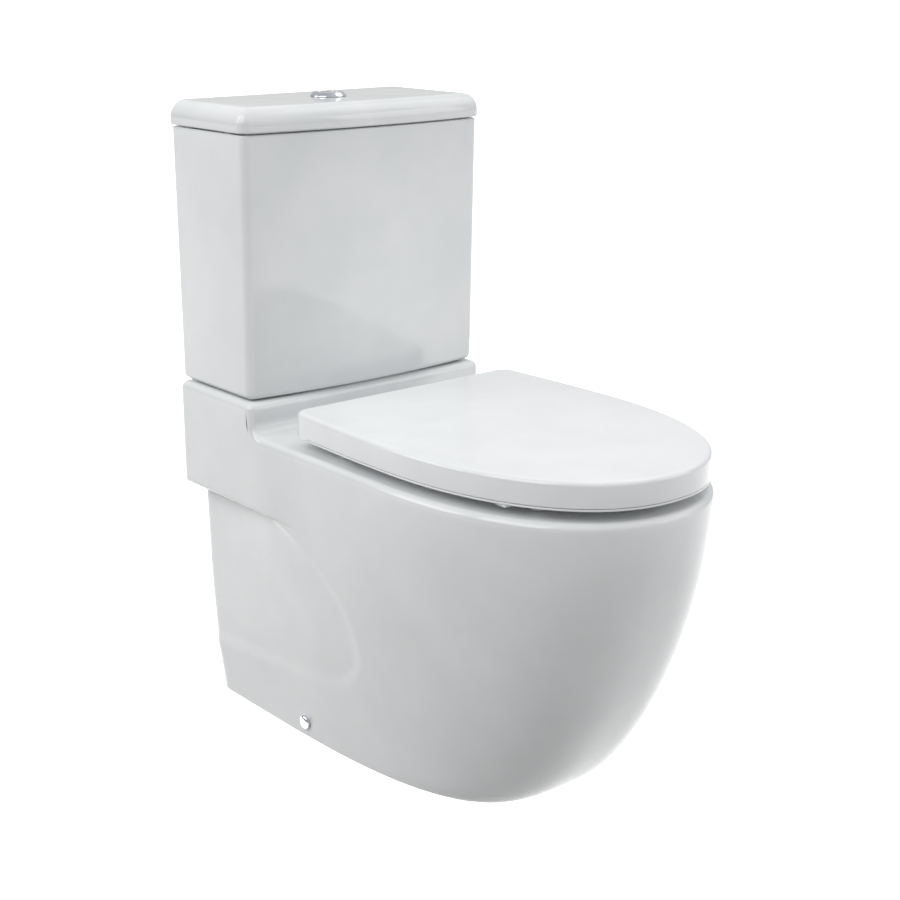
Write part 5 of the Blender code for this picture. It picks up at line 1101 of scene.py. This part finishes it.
buttonForm = {
    "radius": 0.0165, "gap": 0.0004, "split": 0.004, "edge": 0.0009, "edgeShrink": 1.6, "dish": 0.0005,
    "dishStart": 0.86, "dishEnd": 0.06, "rise": 0.006, "wall": 0.0022, "rim": 0.0014, "rimDraft": 0.0008,
    "coneDrop": 0.0005, "coneOut": 0.0002, "boreDrop": 0.0007,
}


def makeBezel():
    # a flat rim, a cone that rises to the ring round the buttons, and a sleeve down through the lid
    p = buttonForm
    low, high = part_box("button_bezel")
    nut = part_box("button_nut")
    y, crown = (nut[0].y + nut[1].y) / 2, high.z
    seat, inner = crown - p["rise"] + touch, p["radius"] + runningGap
    outer, flange = inner + p["wall"], (high.x - low.x) / 2
    corners = [(outer, seat), (flange, seat, 0.0004), (flange - p["rimDraft"], seat + p["rim"], 0.0006),
               (outer + p["coneOut"], crown - p["coneDrop"], 0.0016), (outer - p["wall"] / 2, crown, 0.0009),
               (inner, crown - p["boreDrop"], 0.0006), (inner, low.z, 0.0004), (outer, low.z, 0.0004)]
    bezel = turnedPiece("buttonBezel", filletPath(corners, 5, True), (0, y, 0), steps=128, ring=True)
    finishPiece(bezel, "lid", chrome, "chrome", "button_bezel")
    nutRing = roundRing("buttonNut", outer + touch, (nut[1].x - nut[0].x) / 2, nut[0].z, nut[1].z, (0, y, 0))
    finishPiece(nutRing, "lid", polypropylene, "white_plastic", "button_nut")


def makeButtons():
    # a disc cut by a straight split: rows follow its outline inwards, round the edge and dish the top
    p = buttonForm
    turn, shrink = quarterTurn(5), np.linspace(p["dishStart"], p["dishEnd"], 9)
    size = np.concatenate([[1.0], 1 - p["edge"] / p["radius"] * (1 - np.cos(turn)) * p["edgeShrink"], shrink])
    dish = p["dish"] * (1 - (shrink / p["dishStart"]) ** 2)
    for name, sign in (("full", -1), ("half", 1)):
        low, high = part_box(f"button_{name}")
        y = (low.y + high.y) / 2
        split = p["split"] + sign * p["gap"]
        end = np.arccos(split * sign / p["radius"])
        angle = np.linspace(-end, end, 65)
        arc = np.stack([sign * p["radius"] * np.cos(angle), p["radius"] * np.sin(angle)], -1)
        chord = arc[-1] + (arc[0] - arc[-1]) * column(np.linspace(0, 1, 26)[1:-1])
        outline = np.vstack([arc, chord])
        middle = np.array([(outline[:, 0].min() + outline[:, 0].max()) / 2, 0.0])
        level = np.concatenate([[low.z], high.z - p["edge"] * (1 - np.sin(turn)), high.z - dish])
        spots = middle + (outline - middle)[None] * size[:, None, None] + np.array([0, y])
        heights = np.broadcast_to(level[:, None, None], (*spots.shape[:2], 1))
        cap = loftPiece(f"button_cap_{name}", np.concatenate([spots, heights], axis=-1))
        finishPiece(cap, f"{name}_button", chrome, "chrome", f"button_{name}")
        low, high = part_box(f"push_rod_{name}")
        rod = roundBar(f"pushRod_{name}", (high.x - low.x) / 2, low.z, high.z,
                       ((low.x + high.x) / 2, (low.y + high.y) / 2, 0), edge=0.0005)
        finishPiece(rod, f"{name}_button", polypropylene, "white_plastic", f"push_rod_{name}")


# Valves in the cistern

valveForm = {
    "tail": 0.031, "tailWall": 0.006, "flangeThickness": 0.006, "lipWidth": 0.003, "lipHeight": 0.004,
    "cageWall": 0.003, "cageWindow": 0.090, "legHalfWidth": 0.006, "footHeight": 0.005, "footWidth": 0.006,
    "capThickness": 0.004, "overflow": 0.009, "overflowWall": 0.0018, "threadPitch": 0.0025,
    "threadDepth": 0.0007, "collar": 0.004, "collarHeight": 0.002, "cageGrow": 0.005, "bandProud": 0.0008,
    "bandHeight": 0.0022,
}
fillForm = {
    "shank": 0.010, "column": 0.014, "bore": 0.005, "pitch": 0.0018, "threadDepth": 0.0007, "flange": 0.004,
    "flangeFall": 0.002, "head": 0.700, "headHeight": 0.016, "headGrow": 0.005, "pivotX": 0.135,
    "pivotZ": 0.724, "pin": 0.0018, "earHalf": 0.004, "earThickness": 0.0035, "ears": (0.006, -0.0095),
    "leverHalfWidth": 0.0045, "leverHalfHeight": 0.002, "leverEnd": 0.003, "floatGap": 0.001,
}


def threadProfile(radius, low, high, pitch, depth):
    # rings that stand for a thread: radius - depth * (1 - cos(2 pi z / pitch)) / 2
    count = int(round((high - low) / pitch)) * 8
    z = np.linspace(low, high, count + 1)
    return np.stack([radius - depth * (1 - np.cos(2 * np.pi * (z - low) / pitch)) / 2, z], -1)


def ringFor(node, body, inner, finish, slot, edge=0.0005, ribs=0):
    # a round ring in a CAD ring's place; ribs ripple its outside as r(1 - d(1 - cos(n a)) / 2)
    low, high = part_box(node)
    middle, outer = (low + high) / 2, (high.x - low.x) / 2
    obj = roundRing(node + "Ring", inner, outer, low.z, high.z, (middle.x, middle.y, 0), edge,
                    ribs * 8 if ribs else 72)
    centre, ribDepth = np.array([middle.x, middle.y]), 0.022

    def ripple(spots):
        offset = spots[:, :2] - centre
        radius, angle = np.hypot(*offset.T), np.arctan2(offset[:, 1], offset[:, 0])
        outside = smoothStep((radius - (inner + outer) / 2) / ((outer - inner) / 2))
        scale = 1 - ribDepth * outside * (1 - np.cos(ribs * angle)) / 2
        return np.hstack([centre + offset * column(scale), spots[:, 2:]])

    if ribs:
        bendPiece(obj, ripple)
    return finishPiece(obj, body, finish, slot, node)


def makeFlushValve():
    # the base: a threaded tail, a flange and a lip for the seal; then its rings and the overflow pipe
    p = valveForm
    low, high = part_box("flush_valve_base")
    centre = (0, (low.y + high.y) / 2, 0)
    tail, depth, flange = p["tail"], p["threadDepth"], (high.x - low.x) / 2
    bore, flangeTop = tail - p["tailWall"], high.z - p["lipHeight"]
    flangeLow, lip = flangeTop - p["flangeThickness"], bore + p["lipWidth"]
    thread = threadProfile(tail, low.z + 0.001, flangeLow - 0.002, p["threadPitch"], depth)
    corners = [(flange, flangeLow, 0.0008), (flange, flangeTop, 0.0012), (lip + 0.001, flangeTop, 0.0006),
               (lip, high.z, 0.0008), (bore, high.z, 0.0008), (bore, low.z, 0.0005),
               (tail - depth, low.z, 0.0003)]
    profile = np.vstack([thread, [(tail, flangeLow)], filletPath(corners, 4, True)])
    base = turnedPiece("valveBase", profile, centre, ring=True)
    finishPiece(base, "toilet", polypropylene, "white_plastic", "flush_valve_base")
    ringFor("valve_washer", "toilet", tail + touch, rubber, "rubber")
    ringFor("valve_backnut", "toilet", tail + touch, polypropylene, "white_plastic", 0.0008, 12)
    ringFor("coupling_gasket", "toilet", tail + touch, rubber, "rubber", 0.0025)
    ringFor("valve_seal", "flush_core", p["overflow"] + touch, rubber, "rubber", 0.0008)
    seal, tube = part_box("valve_seal"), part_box("overflow_tube")
    r, inside, collar = p["overflow"], p["overflow"] - p["overflowWall"], seal[1].z + touch
    collarTop, collarRadius = collar + p["collarHeight"], r + p["collar"]
    corners = [(r, tube[0].z, 0.0004), (r, collar, 0.0003), (collarRadius, collar, 0.0005),
               (collarRadius, collarTop, 0.0005), (r, collarTop, 0.0004), (r, tube[1].z, 0.0006),
               (inside, tube[1].z, 0.0006), (inside, tube[0].z, 0.0004)]
    pipe = turnedPiece("overflowPipe", filletPath(corners, 4, True), centre, ring=True)
    finishPiece(pipe, "flush_core", bluePolypropylene, "blue_plastic", "overflow_tube")
    makeCage(centre)


def makeCage(centre):
    # a drum with a guide at its top, held up by four legs on a foot ring, and five bands round it
    p = valveForm
    low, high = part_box("flush_valve_cage")
    inner = p["tail"] - p["tailWall"] + p["cageGrow"]
    outer, drum = inner + p["cageWall"], low.z + p["cageWindow"]
    guide, underCap = p["overflow"] + runningGap, high.z - p["capThickness"]
    corners = [(outer, drum, 0.0005), (outer, high.z, 0.0012), (guide, high.z, 0.0005),
               (guide, underCap, 0.0005), (inner, underCap, 0.001), (inner, drum, 0.0005)]
    cage = turnedPiece("valveCage", filletPath(corners, 4, True), centre, ring=True)
    footBore, footTop = inner + touch, low.z + p["footHeight"]
    foot = roundRing("cageFoot", footBore, footBore + p["footWidth"], low.z, footTop, centre, 0.0006)
    bands = [roundRing(f"cageBand_{k}", outer - 0.001, outer + p["bandProud"], z, z + p["bandHeight"], centre,
                       0.0004) for k, z in enumerate(np.linspace(drum + 0.006, high.z - 0.012, 5))]
    legs = []
    for k in range(4):
        leg = roundBlock(f"cageLeg_{k}", np.array([inner - touch, -p["legHalfWidth"], low.z + 0.002]),
                         np.array([outer - runningGap, p["legHalfWidth"], drum + 0.005]), 0.0008)
        c, s = np.cos(np.pi / 4 + k * np.pi / 2), np.sin(np.pi / 4 + k * np.pi / 2)
        bendPiece(leg, lambda spots: spots @ np.array([(c, s, 0), (-s, c, 0), (0, 0, 1)]) + np.array(centre))
        legs.append(leg)
    cage = carve(cage, ("join", foot, *legs, *bands))
    return finishPiece(cage, "toilet", greyAbs, "grey_plastic", "flush_valve_cage")


def makeFillValve():
    # a threaded shank, a flange and a column with a wider head, whose two ears hold the lever's pivot
    p = fillForm
    low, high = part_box("fill_valve_body")
    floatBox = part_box("fill_valve_float")
    x, y = cisternForm["inletX"], (floatBox[0].y + floatBox[1].y) / 2
    centre = (x, y, 0)
    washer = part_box("fill_valve_washer")
    flangeLow, flange = washer[1].z + touch, (washer[1].x - washer[0].x) / 2
    flangeTop, shank, bore = flangeLow + p["flange"], p["shank"], p["bore"]
    head, headTop, headRadius = p["head"], p["head"] + p["headHeight"], p["column"] + p["headGrow"]
    thread = threadProfile(shank, low.z + 0.001, flangeLow - 0.001, p["pitch"], p["threadDepth"])
    corners = [(flange, flangeLow, 0.0006), (flange, flangeTop, 0.0008),
               (p["column"], flangeTop + p["flangeFall"], 0.001), (p["column"], head, 0.001),
               (headRadius, head + 0.002, 0.001), (headRadius, headTop, 0.0015), (bore, headTop, 0.0006),
               (bore, low.z, 0.0004), (shank - p["threadDepth"], low.z, 0.0003)]
    profile = np.vstack([thread, [(shank, flangeLow)], filletPath(corners, 4, True)])
    body = turnedPiece("fillValve", profile, centre, ring=True)
    pivotX, pivotZ, pin = p["pivotX"], p["pivotZ"], p["pin"]
    ears, bores = [], []
    for where, near in zip(("front", "rear"), p["ears"]):
        edgeY, half, thick = y - near, p["earHalf"], p["earThickness"]
        ears.append(roundBlock(f"ear_{where}", np.array([pivotX - half, edgeY - thick, headTop - 0.002]),
                               np.array([pivotX + half, edgeY, pivotZ + half]), 0.001))
        bores.append(roundBar(f"earBore_{where}", pin + touch, -0.005, 0.005,
                              (pivotX, edgeY - thick / 2, pivotZ), "y"))
    body = carve(body, ("join", *ears), ("cut", *bores))
    finishPiece(body, "toilet", polypropylene, "white_plastic", "fill_valve_body")
    ringFor("fill_valve_washer", "toilet", shank + touch, rubber, "rubber")
    ringFor("fill_valve_backnut", "toilet", shank + touch, polypropylene, "white_plastic", 0.0008, 10)
    ringFor("fill_valve_float", "float", p["column"] + p["floatGap"], greyAbs, "grey_plastic", 0.004)
    low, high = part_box("float_rod")
    rodSpot = ((low.x + high.x) / 2, (low.y + high.y) / 2, 0)
    rod = roundBar("floatRod", pin, low.z, high.z, rodSpot, edge=0.0004)
    finishPiece(rod, "float", brass, "brass", "float_rod")
    low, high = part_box("fill_valve_lever")
    half, thick = p["leverHalfWidth"], p["leverHalfHeight"]
    arm = roundBlock("valveLever", np.array([low.x, y - half, pivotZ - thick]),
                     np.array([pivotX + p["leverEnd"], y + half, pivotZ + thick]), 0.0012)
    pivot = roundBar("leverPivot", pin, low.y - y, high.y - y, (pivotX, y, pivotZ), "y", 0.0003)
    lever = carve(arm, ("join", pivot))
    finishPiece(lever, "float_lever", polypropylene, "white_plastic", "fill_valve_lever")


# Fixings

fixingForm = {
    "bolt": 0.004, "nutWall": 0.0037, "wingSpan": 0.0165, "wingHalf": 0.0015, "pitch": 0.00125,
    "threadDepth": 0.0005, "headSide": 0.003, "headFlat": 0.55, "capWall": 0.0018, "capSide": 0.42,
}


def boltPiece(node, name, headLow=None):
    # a threaded bar, with a domed head above headLow if it has one
    p = fixingForm
    low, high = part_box(node)
    middle = (low + high) / 2
    top = headLow if headLow else high.z
    thread = threadProfile(p["bolt"], low.z + 0.0006, top - 0.0008, p["pitch"], p["threadDepth"])
    start = [(0, low.z), (p["bolt"] - p["threadDepth"], low.z)]
    if headLow:
        radius = (high.x - low.x) / 2
        head = filletPath([(p["bolt"], top), (radius, top, 0.0004), (radius, top + p["headSide"], 0.0014),
                           (radius * p["headFlat"], high.z, 0.0016), (0, high.z)], 5)
    else:
        head = [(p["bolt"] - 0.0003, top), (0, top)]
    bolt = turnedPiece(name, np.vstack([start, thread, head]), (middle.x, middle.y, 0), steps=48)
    return finishPiece(bolt, "toilet", zincSteel, "steel", node)


def wingNut(node, name, finish, slot):
    # a ring with two flat wings
    p = fixingForm
    low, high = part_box(node)
    middle = (low + high) / 2
    nut = roundRing(name, p["bolt"] + touch, p["bolt"] + touch + p["nutWall"], low.z, high.z,
                    (middle.x, middle.y, 0), 0.0007, 48)
    root, tip, half = p["bolt"] + p["nutWall"] / 2, p["wingSpan"], p["wingHalf"]
    wings = [roundBlock(f"{name}_wing_{side}",
                        np.array([middle.x + sign * root, middle.y - half, low.z + 0.001]),
                        np.array([middle.x + sign * tip, middle.y + half, high.z - 0.001]), 0.0011)
             for side, sign in sides]
    return finishPiece(carve(nut, ("join", *wings)), "toilet", finish, slot, node)


def makeFixings():
    # on each side: coupling bolt, washer and wing nut, hinge stud with its own, hinge post and pin, foot cap
    h, p = hingeForm, fixingForm
    for side, sign in sides:
        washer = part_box(f"coupling_washer_{side}")
        ringFor(f"coupling_washer_{side}", "toilet", p["bolt"] + touch, rubber, "rubber", 0.0015)
        boltPiece(f"coupling_bolt_{side}", f"couplingBolt_{side}", washer[1].z + touch)
        wingNut(f"coupling_nut_{side}", f"couplingNut_{side}", brass, "brass")
        boltPiece(f"hinge_stud_{side}", f"hingeStud_{side}")
        ringFor(f"hinge_washer_{side}", "toilet", p["bolt"] + touch, rubber, "rubber", 0.0012)
        wingNut(f"hinge_nut_{side}", f"hingeNut_{side}", polypropylene, "white_plastic")
        makeHingePost(side, hingeX(sign))
        low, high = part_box(f"hinge_pin_{side}")
        pinPiece = axisBar(f"hingePin_{side}", h["pin"], hingeX(sign), (high.x - low.x) / 2, h["lugEdge"])
        finishPiece(pinPiece, "toilet", greyAbs, "grey_plastic", f"hinge_pin_{side}")
        makeFootCap(side, sign)


def makeHingePost(side, x):
    # a domed plate on the rim, a neck and a knuckle on the hinge axis, bored for the pin and the stud
    h = hingeForm
    y = wallY - h["reach"]
    low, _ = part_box(f"hinge_post_{side}")
    plate, top = h["plateRadius"], h["plateTop"]
    profile = filletPath([(0, low.z), (plate, low.z, 0.0003), (plate, top - h["plateDrop"], 0.001),
                          (h["plateCrown"], top, 0.002), (0, top)], 6)
    post = turnedPiece(f"hingePost_{side}", profile, (x, y, 0), steps=96)
    half, deep = h["knuckleWidth"] / 2 - runningGap, h["neckHalfDepth"]
    neck = roundBlock(f"neck_{side}", np.array([x - half, y - deep, top - 0.001]),
                      np.array([x + half, y + deep, h["height"]]), h["neckEdge"])
    knuckle = axisBar(f"knuckle_{side}", h["knuckle"], x, h["knuckleWidth"] / 2, h["knuckleEdge"])
    pinBore = axisBar(f"pinBore_{side}", h["pin"] + touch, x, h["knuckleWidth"])
    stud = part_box(f"hinge_stud_{side}")
    studBore = roundBar(f"studBore_{side}", h["studBore"] + touch, h["studBoreStart"], stud[1].z + touch,
                        (x, y, 0), steps=36)
    post = carve(post, ("join", neck, knuckle), ("cut", pinBore, studBore))
    return finishPiece(post, "toilet", chrome, "chrome", f"hinge_post_{side}")


def makeFootCap(side, sign):
    # a hollow dome over the side screw: a quarter ellipse from its edge to its middle
    low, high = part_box(f"foot_cap_{side}")
    middle, radius, rise = (low + high) / 2, (high.z - low.z) / 2, high.x - low.x
    face = min(abs(low.x), abs(high.x))
    turn, wall, flat = quarterTurn(12), fixingForm["capWall"], fixingForm["capSide"]
    dome = np.stack([radius * np.cos(turn), flat * rise + (1 - flat) * rise * np.sin(turn)], -1)
    inside = filletPath([(0, rise - wall), (radius - wall, rise - wall * 2, 0.001), (radius - wall, 0)], 5)
    profile = np.vstack([inside, [(radius - 0.0003, 0), (radius, 0.0003)], dome])
    profile[:, 1] = sign * (face + profile[:, 1])
    cap = turnedPiece(f"footCap_{side}", profile, (0, middle.y, middle.z), "x", 96)
    return finishPiece(cap, "toilet", chrome, "chrome", f"foot_cap_{side}")


makeBezel()
makeButtons()
makeFlushValve()
makeFillValve()
makeFixings()
print("button, valves and fixings done")


# Stage, lights and camera

stageForm = {"floor": "#FFFFFF", "roughness": 0.6, "sheen": 0.2, "glow": 1.0, "radius": 45.0}
lampForm = {  # place, width and power of each soft light; all of them face the middle of the toilet
    "backLeft": {"at": (-3.0, 2.2, 2.4), "width": 2.0, "power": 37.2},
    "frontRight": {"at": (3.0, -3.0, 1.8), "width": 2.0, "power": 22.2},
    "upperRight": {"at": (2.6, -0.5, 3.4), "width": 2.5, "power": 18.7},
    "upperLeft": {"at": (-3.0, -0.3, 3.2), "width": 2.5, "power": 57.6},
}
roomForm = {  # each side of the pale studio and its strength, which fades with the cosine of the angle
    "right": ((1, 0, 0), 0.382), "rear": ((0, 1, 0), 0.399), "front": ((0, -1, 0), 0.383),
    "ceiling": ((0, 0, 1), 0.569),
}
cameraForm = {
    "azimuth": -39.757, "elevation": 16.699, "lens": 65.98, "sensor": 36.0,
    "at": (-1.25220, -1.4790, 0.97167),
}
aimHeight = 0.35


def makeStage():
    # a white floor (z = 0) that runs to a white dome: radius x (cos u cos v, sin u cos v, sin v)
    s = stageForm
    finish, _, shader, _ = newFinish("whiteStudioPaint", s["floor"], s["roughness"])
    shader.inputs["Emission Color"].default_value = hexColour(s["floor"])
    shader.inputs["Emission Strength"].default_value = s["glow"]
    shader.inputs["Specular IOR Level"].default_value = s["sheen"]
    finish.cycles.emission_sampling = "NONE"
    share = np.linspace(-1, 1, 9)
    x, y = np.meshgrid(share * s["radius"], share * s["radius"])
    floor = meshPiece("paleFloor", [gridPatch(np.stack([x, y, np.zeros_like(x)], -1))])
    if floor.data.polygons[0].normal.z < 0:
        floor.data.flip_normals()
    turn, rise = np.meshgrid(np.linspace(0, 2 * np.pi, 65), np.linspace(0, np.pi / 2, 17))
    ball = np.stack([np.cos(turn) * np.cos(rise), np.sin(turn) * np.cos(rise), np.sin(rise)], -1)
    dome = meshPiece("paleBackdrop", [gridPatch(s["radius"] * ball)])
    for obj in (floor, dome):
        obj.data.materials.append(finish)
        obj.visible_diffuse = obj.visible_shadow = False  # the room light below stands for what they give
    dome.visible_glossy = False


def makeLamps():
    # square soft lights, turned to the middle of the toilet
    for name, form in lampForm.items():
        lamp = bpy.data.lights.new(name, "AREA")
        lamp.size, lamp.energy = form["width"], form["power"]
        obj = bpy.data.objects.new(name, lamp)
        obj.location = form["at"]
        obj.rotation_mode = "QUATERNION"
        obj.rotation_quaternion = (Vector((0, 0, aimHeight)) - obj.location).to_track_quat("-Z", "Y")
        bpy.context.scene.collection.objects.link(obj)


def makeRoom():
    # strength = the sum over the four sides of its strength x max(0, direction . side)
    world = bpy.data.worlds.new("studio")
    bpy.context.scene.world = world
    world.use_nodes = True
    tree = world.node_tree
    direction = addNode(tree, "TexCoord").outputs["Generated"]
    total = None
    for side, strength in roomForm.values():
        facing = addNode(tree, "VectorMath", {"operation": "DOT_PRODUCT"}, {1: side}, {0: direction})
        lit = addNode(tree, "Math", {"operation": "MAXIMUM"}, {1: 0.0}, {0: facing.outputs["Value"]})
        links = {0: lit.outputs[0], **({} if total is None else {2: total})}
        added = addNode(tree, "Math", {"operation": "MULTIPLY_ADD"}, {1: strength, 2: 0.0}, links)
        total = added.outputs[0]
    back = tree.nodes["Background"]
    back.inputs["Color"].default_value = (1, 1, 1, 1)
    tree.links.new(total, back.inputs["Strength"])


def makeCamera():
    # stands at its own place and looks along the azimuth and the elevation
    azimuth, elevation = np.radians(cameraForm["azimuth"]), np.radians(cameraForm["elevation"])
    level = np.cos(elevation)
    back = Vector((np.sin(azimuth) * level, -np.cos(azimuth) * level, np.sin(elevation)))
    lens = bpy.data.cameras.new("camera")
    lens.lens, lens.sensor_width = cameraForm["lens"], cameraForm["sensor"]
    obj = bpy.data.objects.new("camera", lens)
    obj.location = cameraForm["at"]
    obj.rotation_mode = "QUATERNION"
    obj.rotation_quaternion = (-back).to_track_quat("-Z", "Y")
    bpy.context.scene.collection.objects.link(obj)
    bpy.context.scene.camera = obj


makeStage()
makeLamps()
makeRoom()
makeCamera()
bpy.context.scene.view_settings.view_transform = "Standard"
print("stage, lights and camera done")
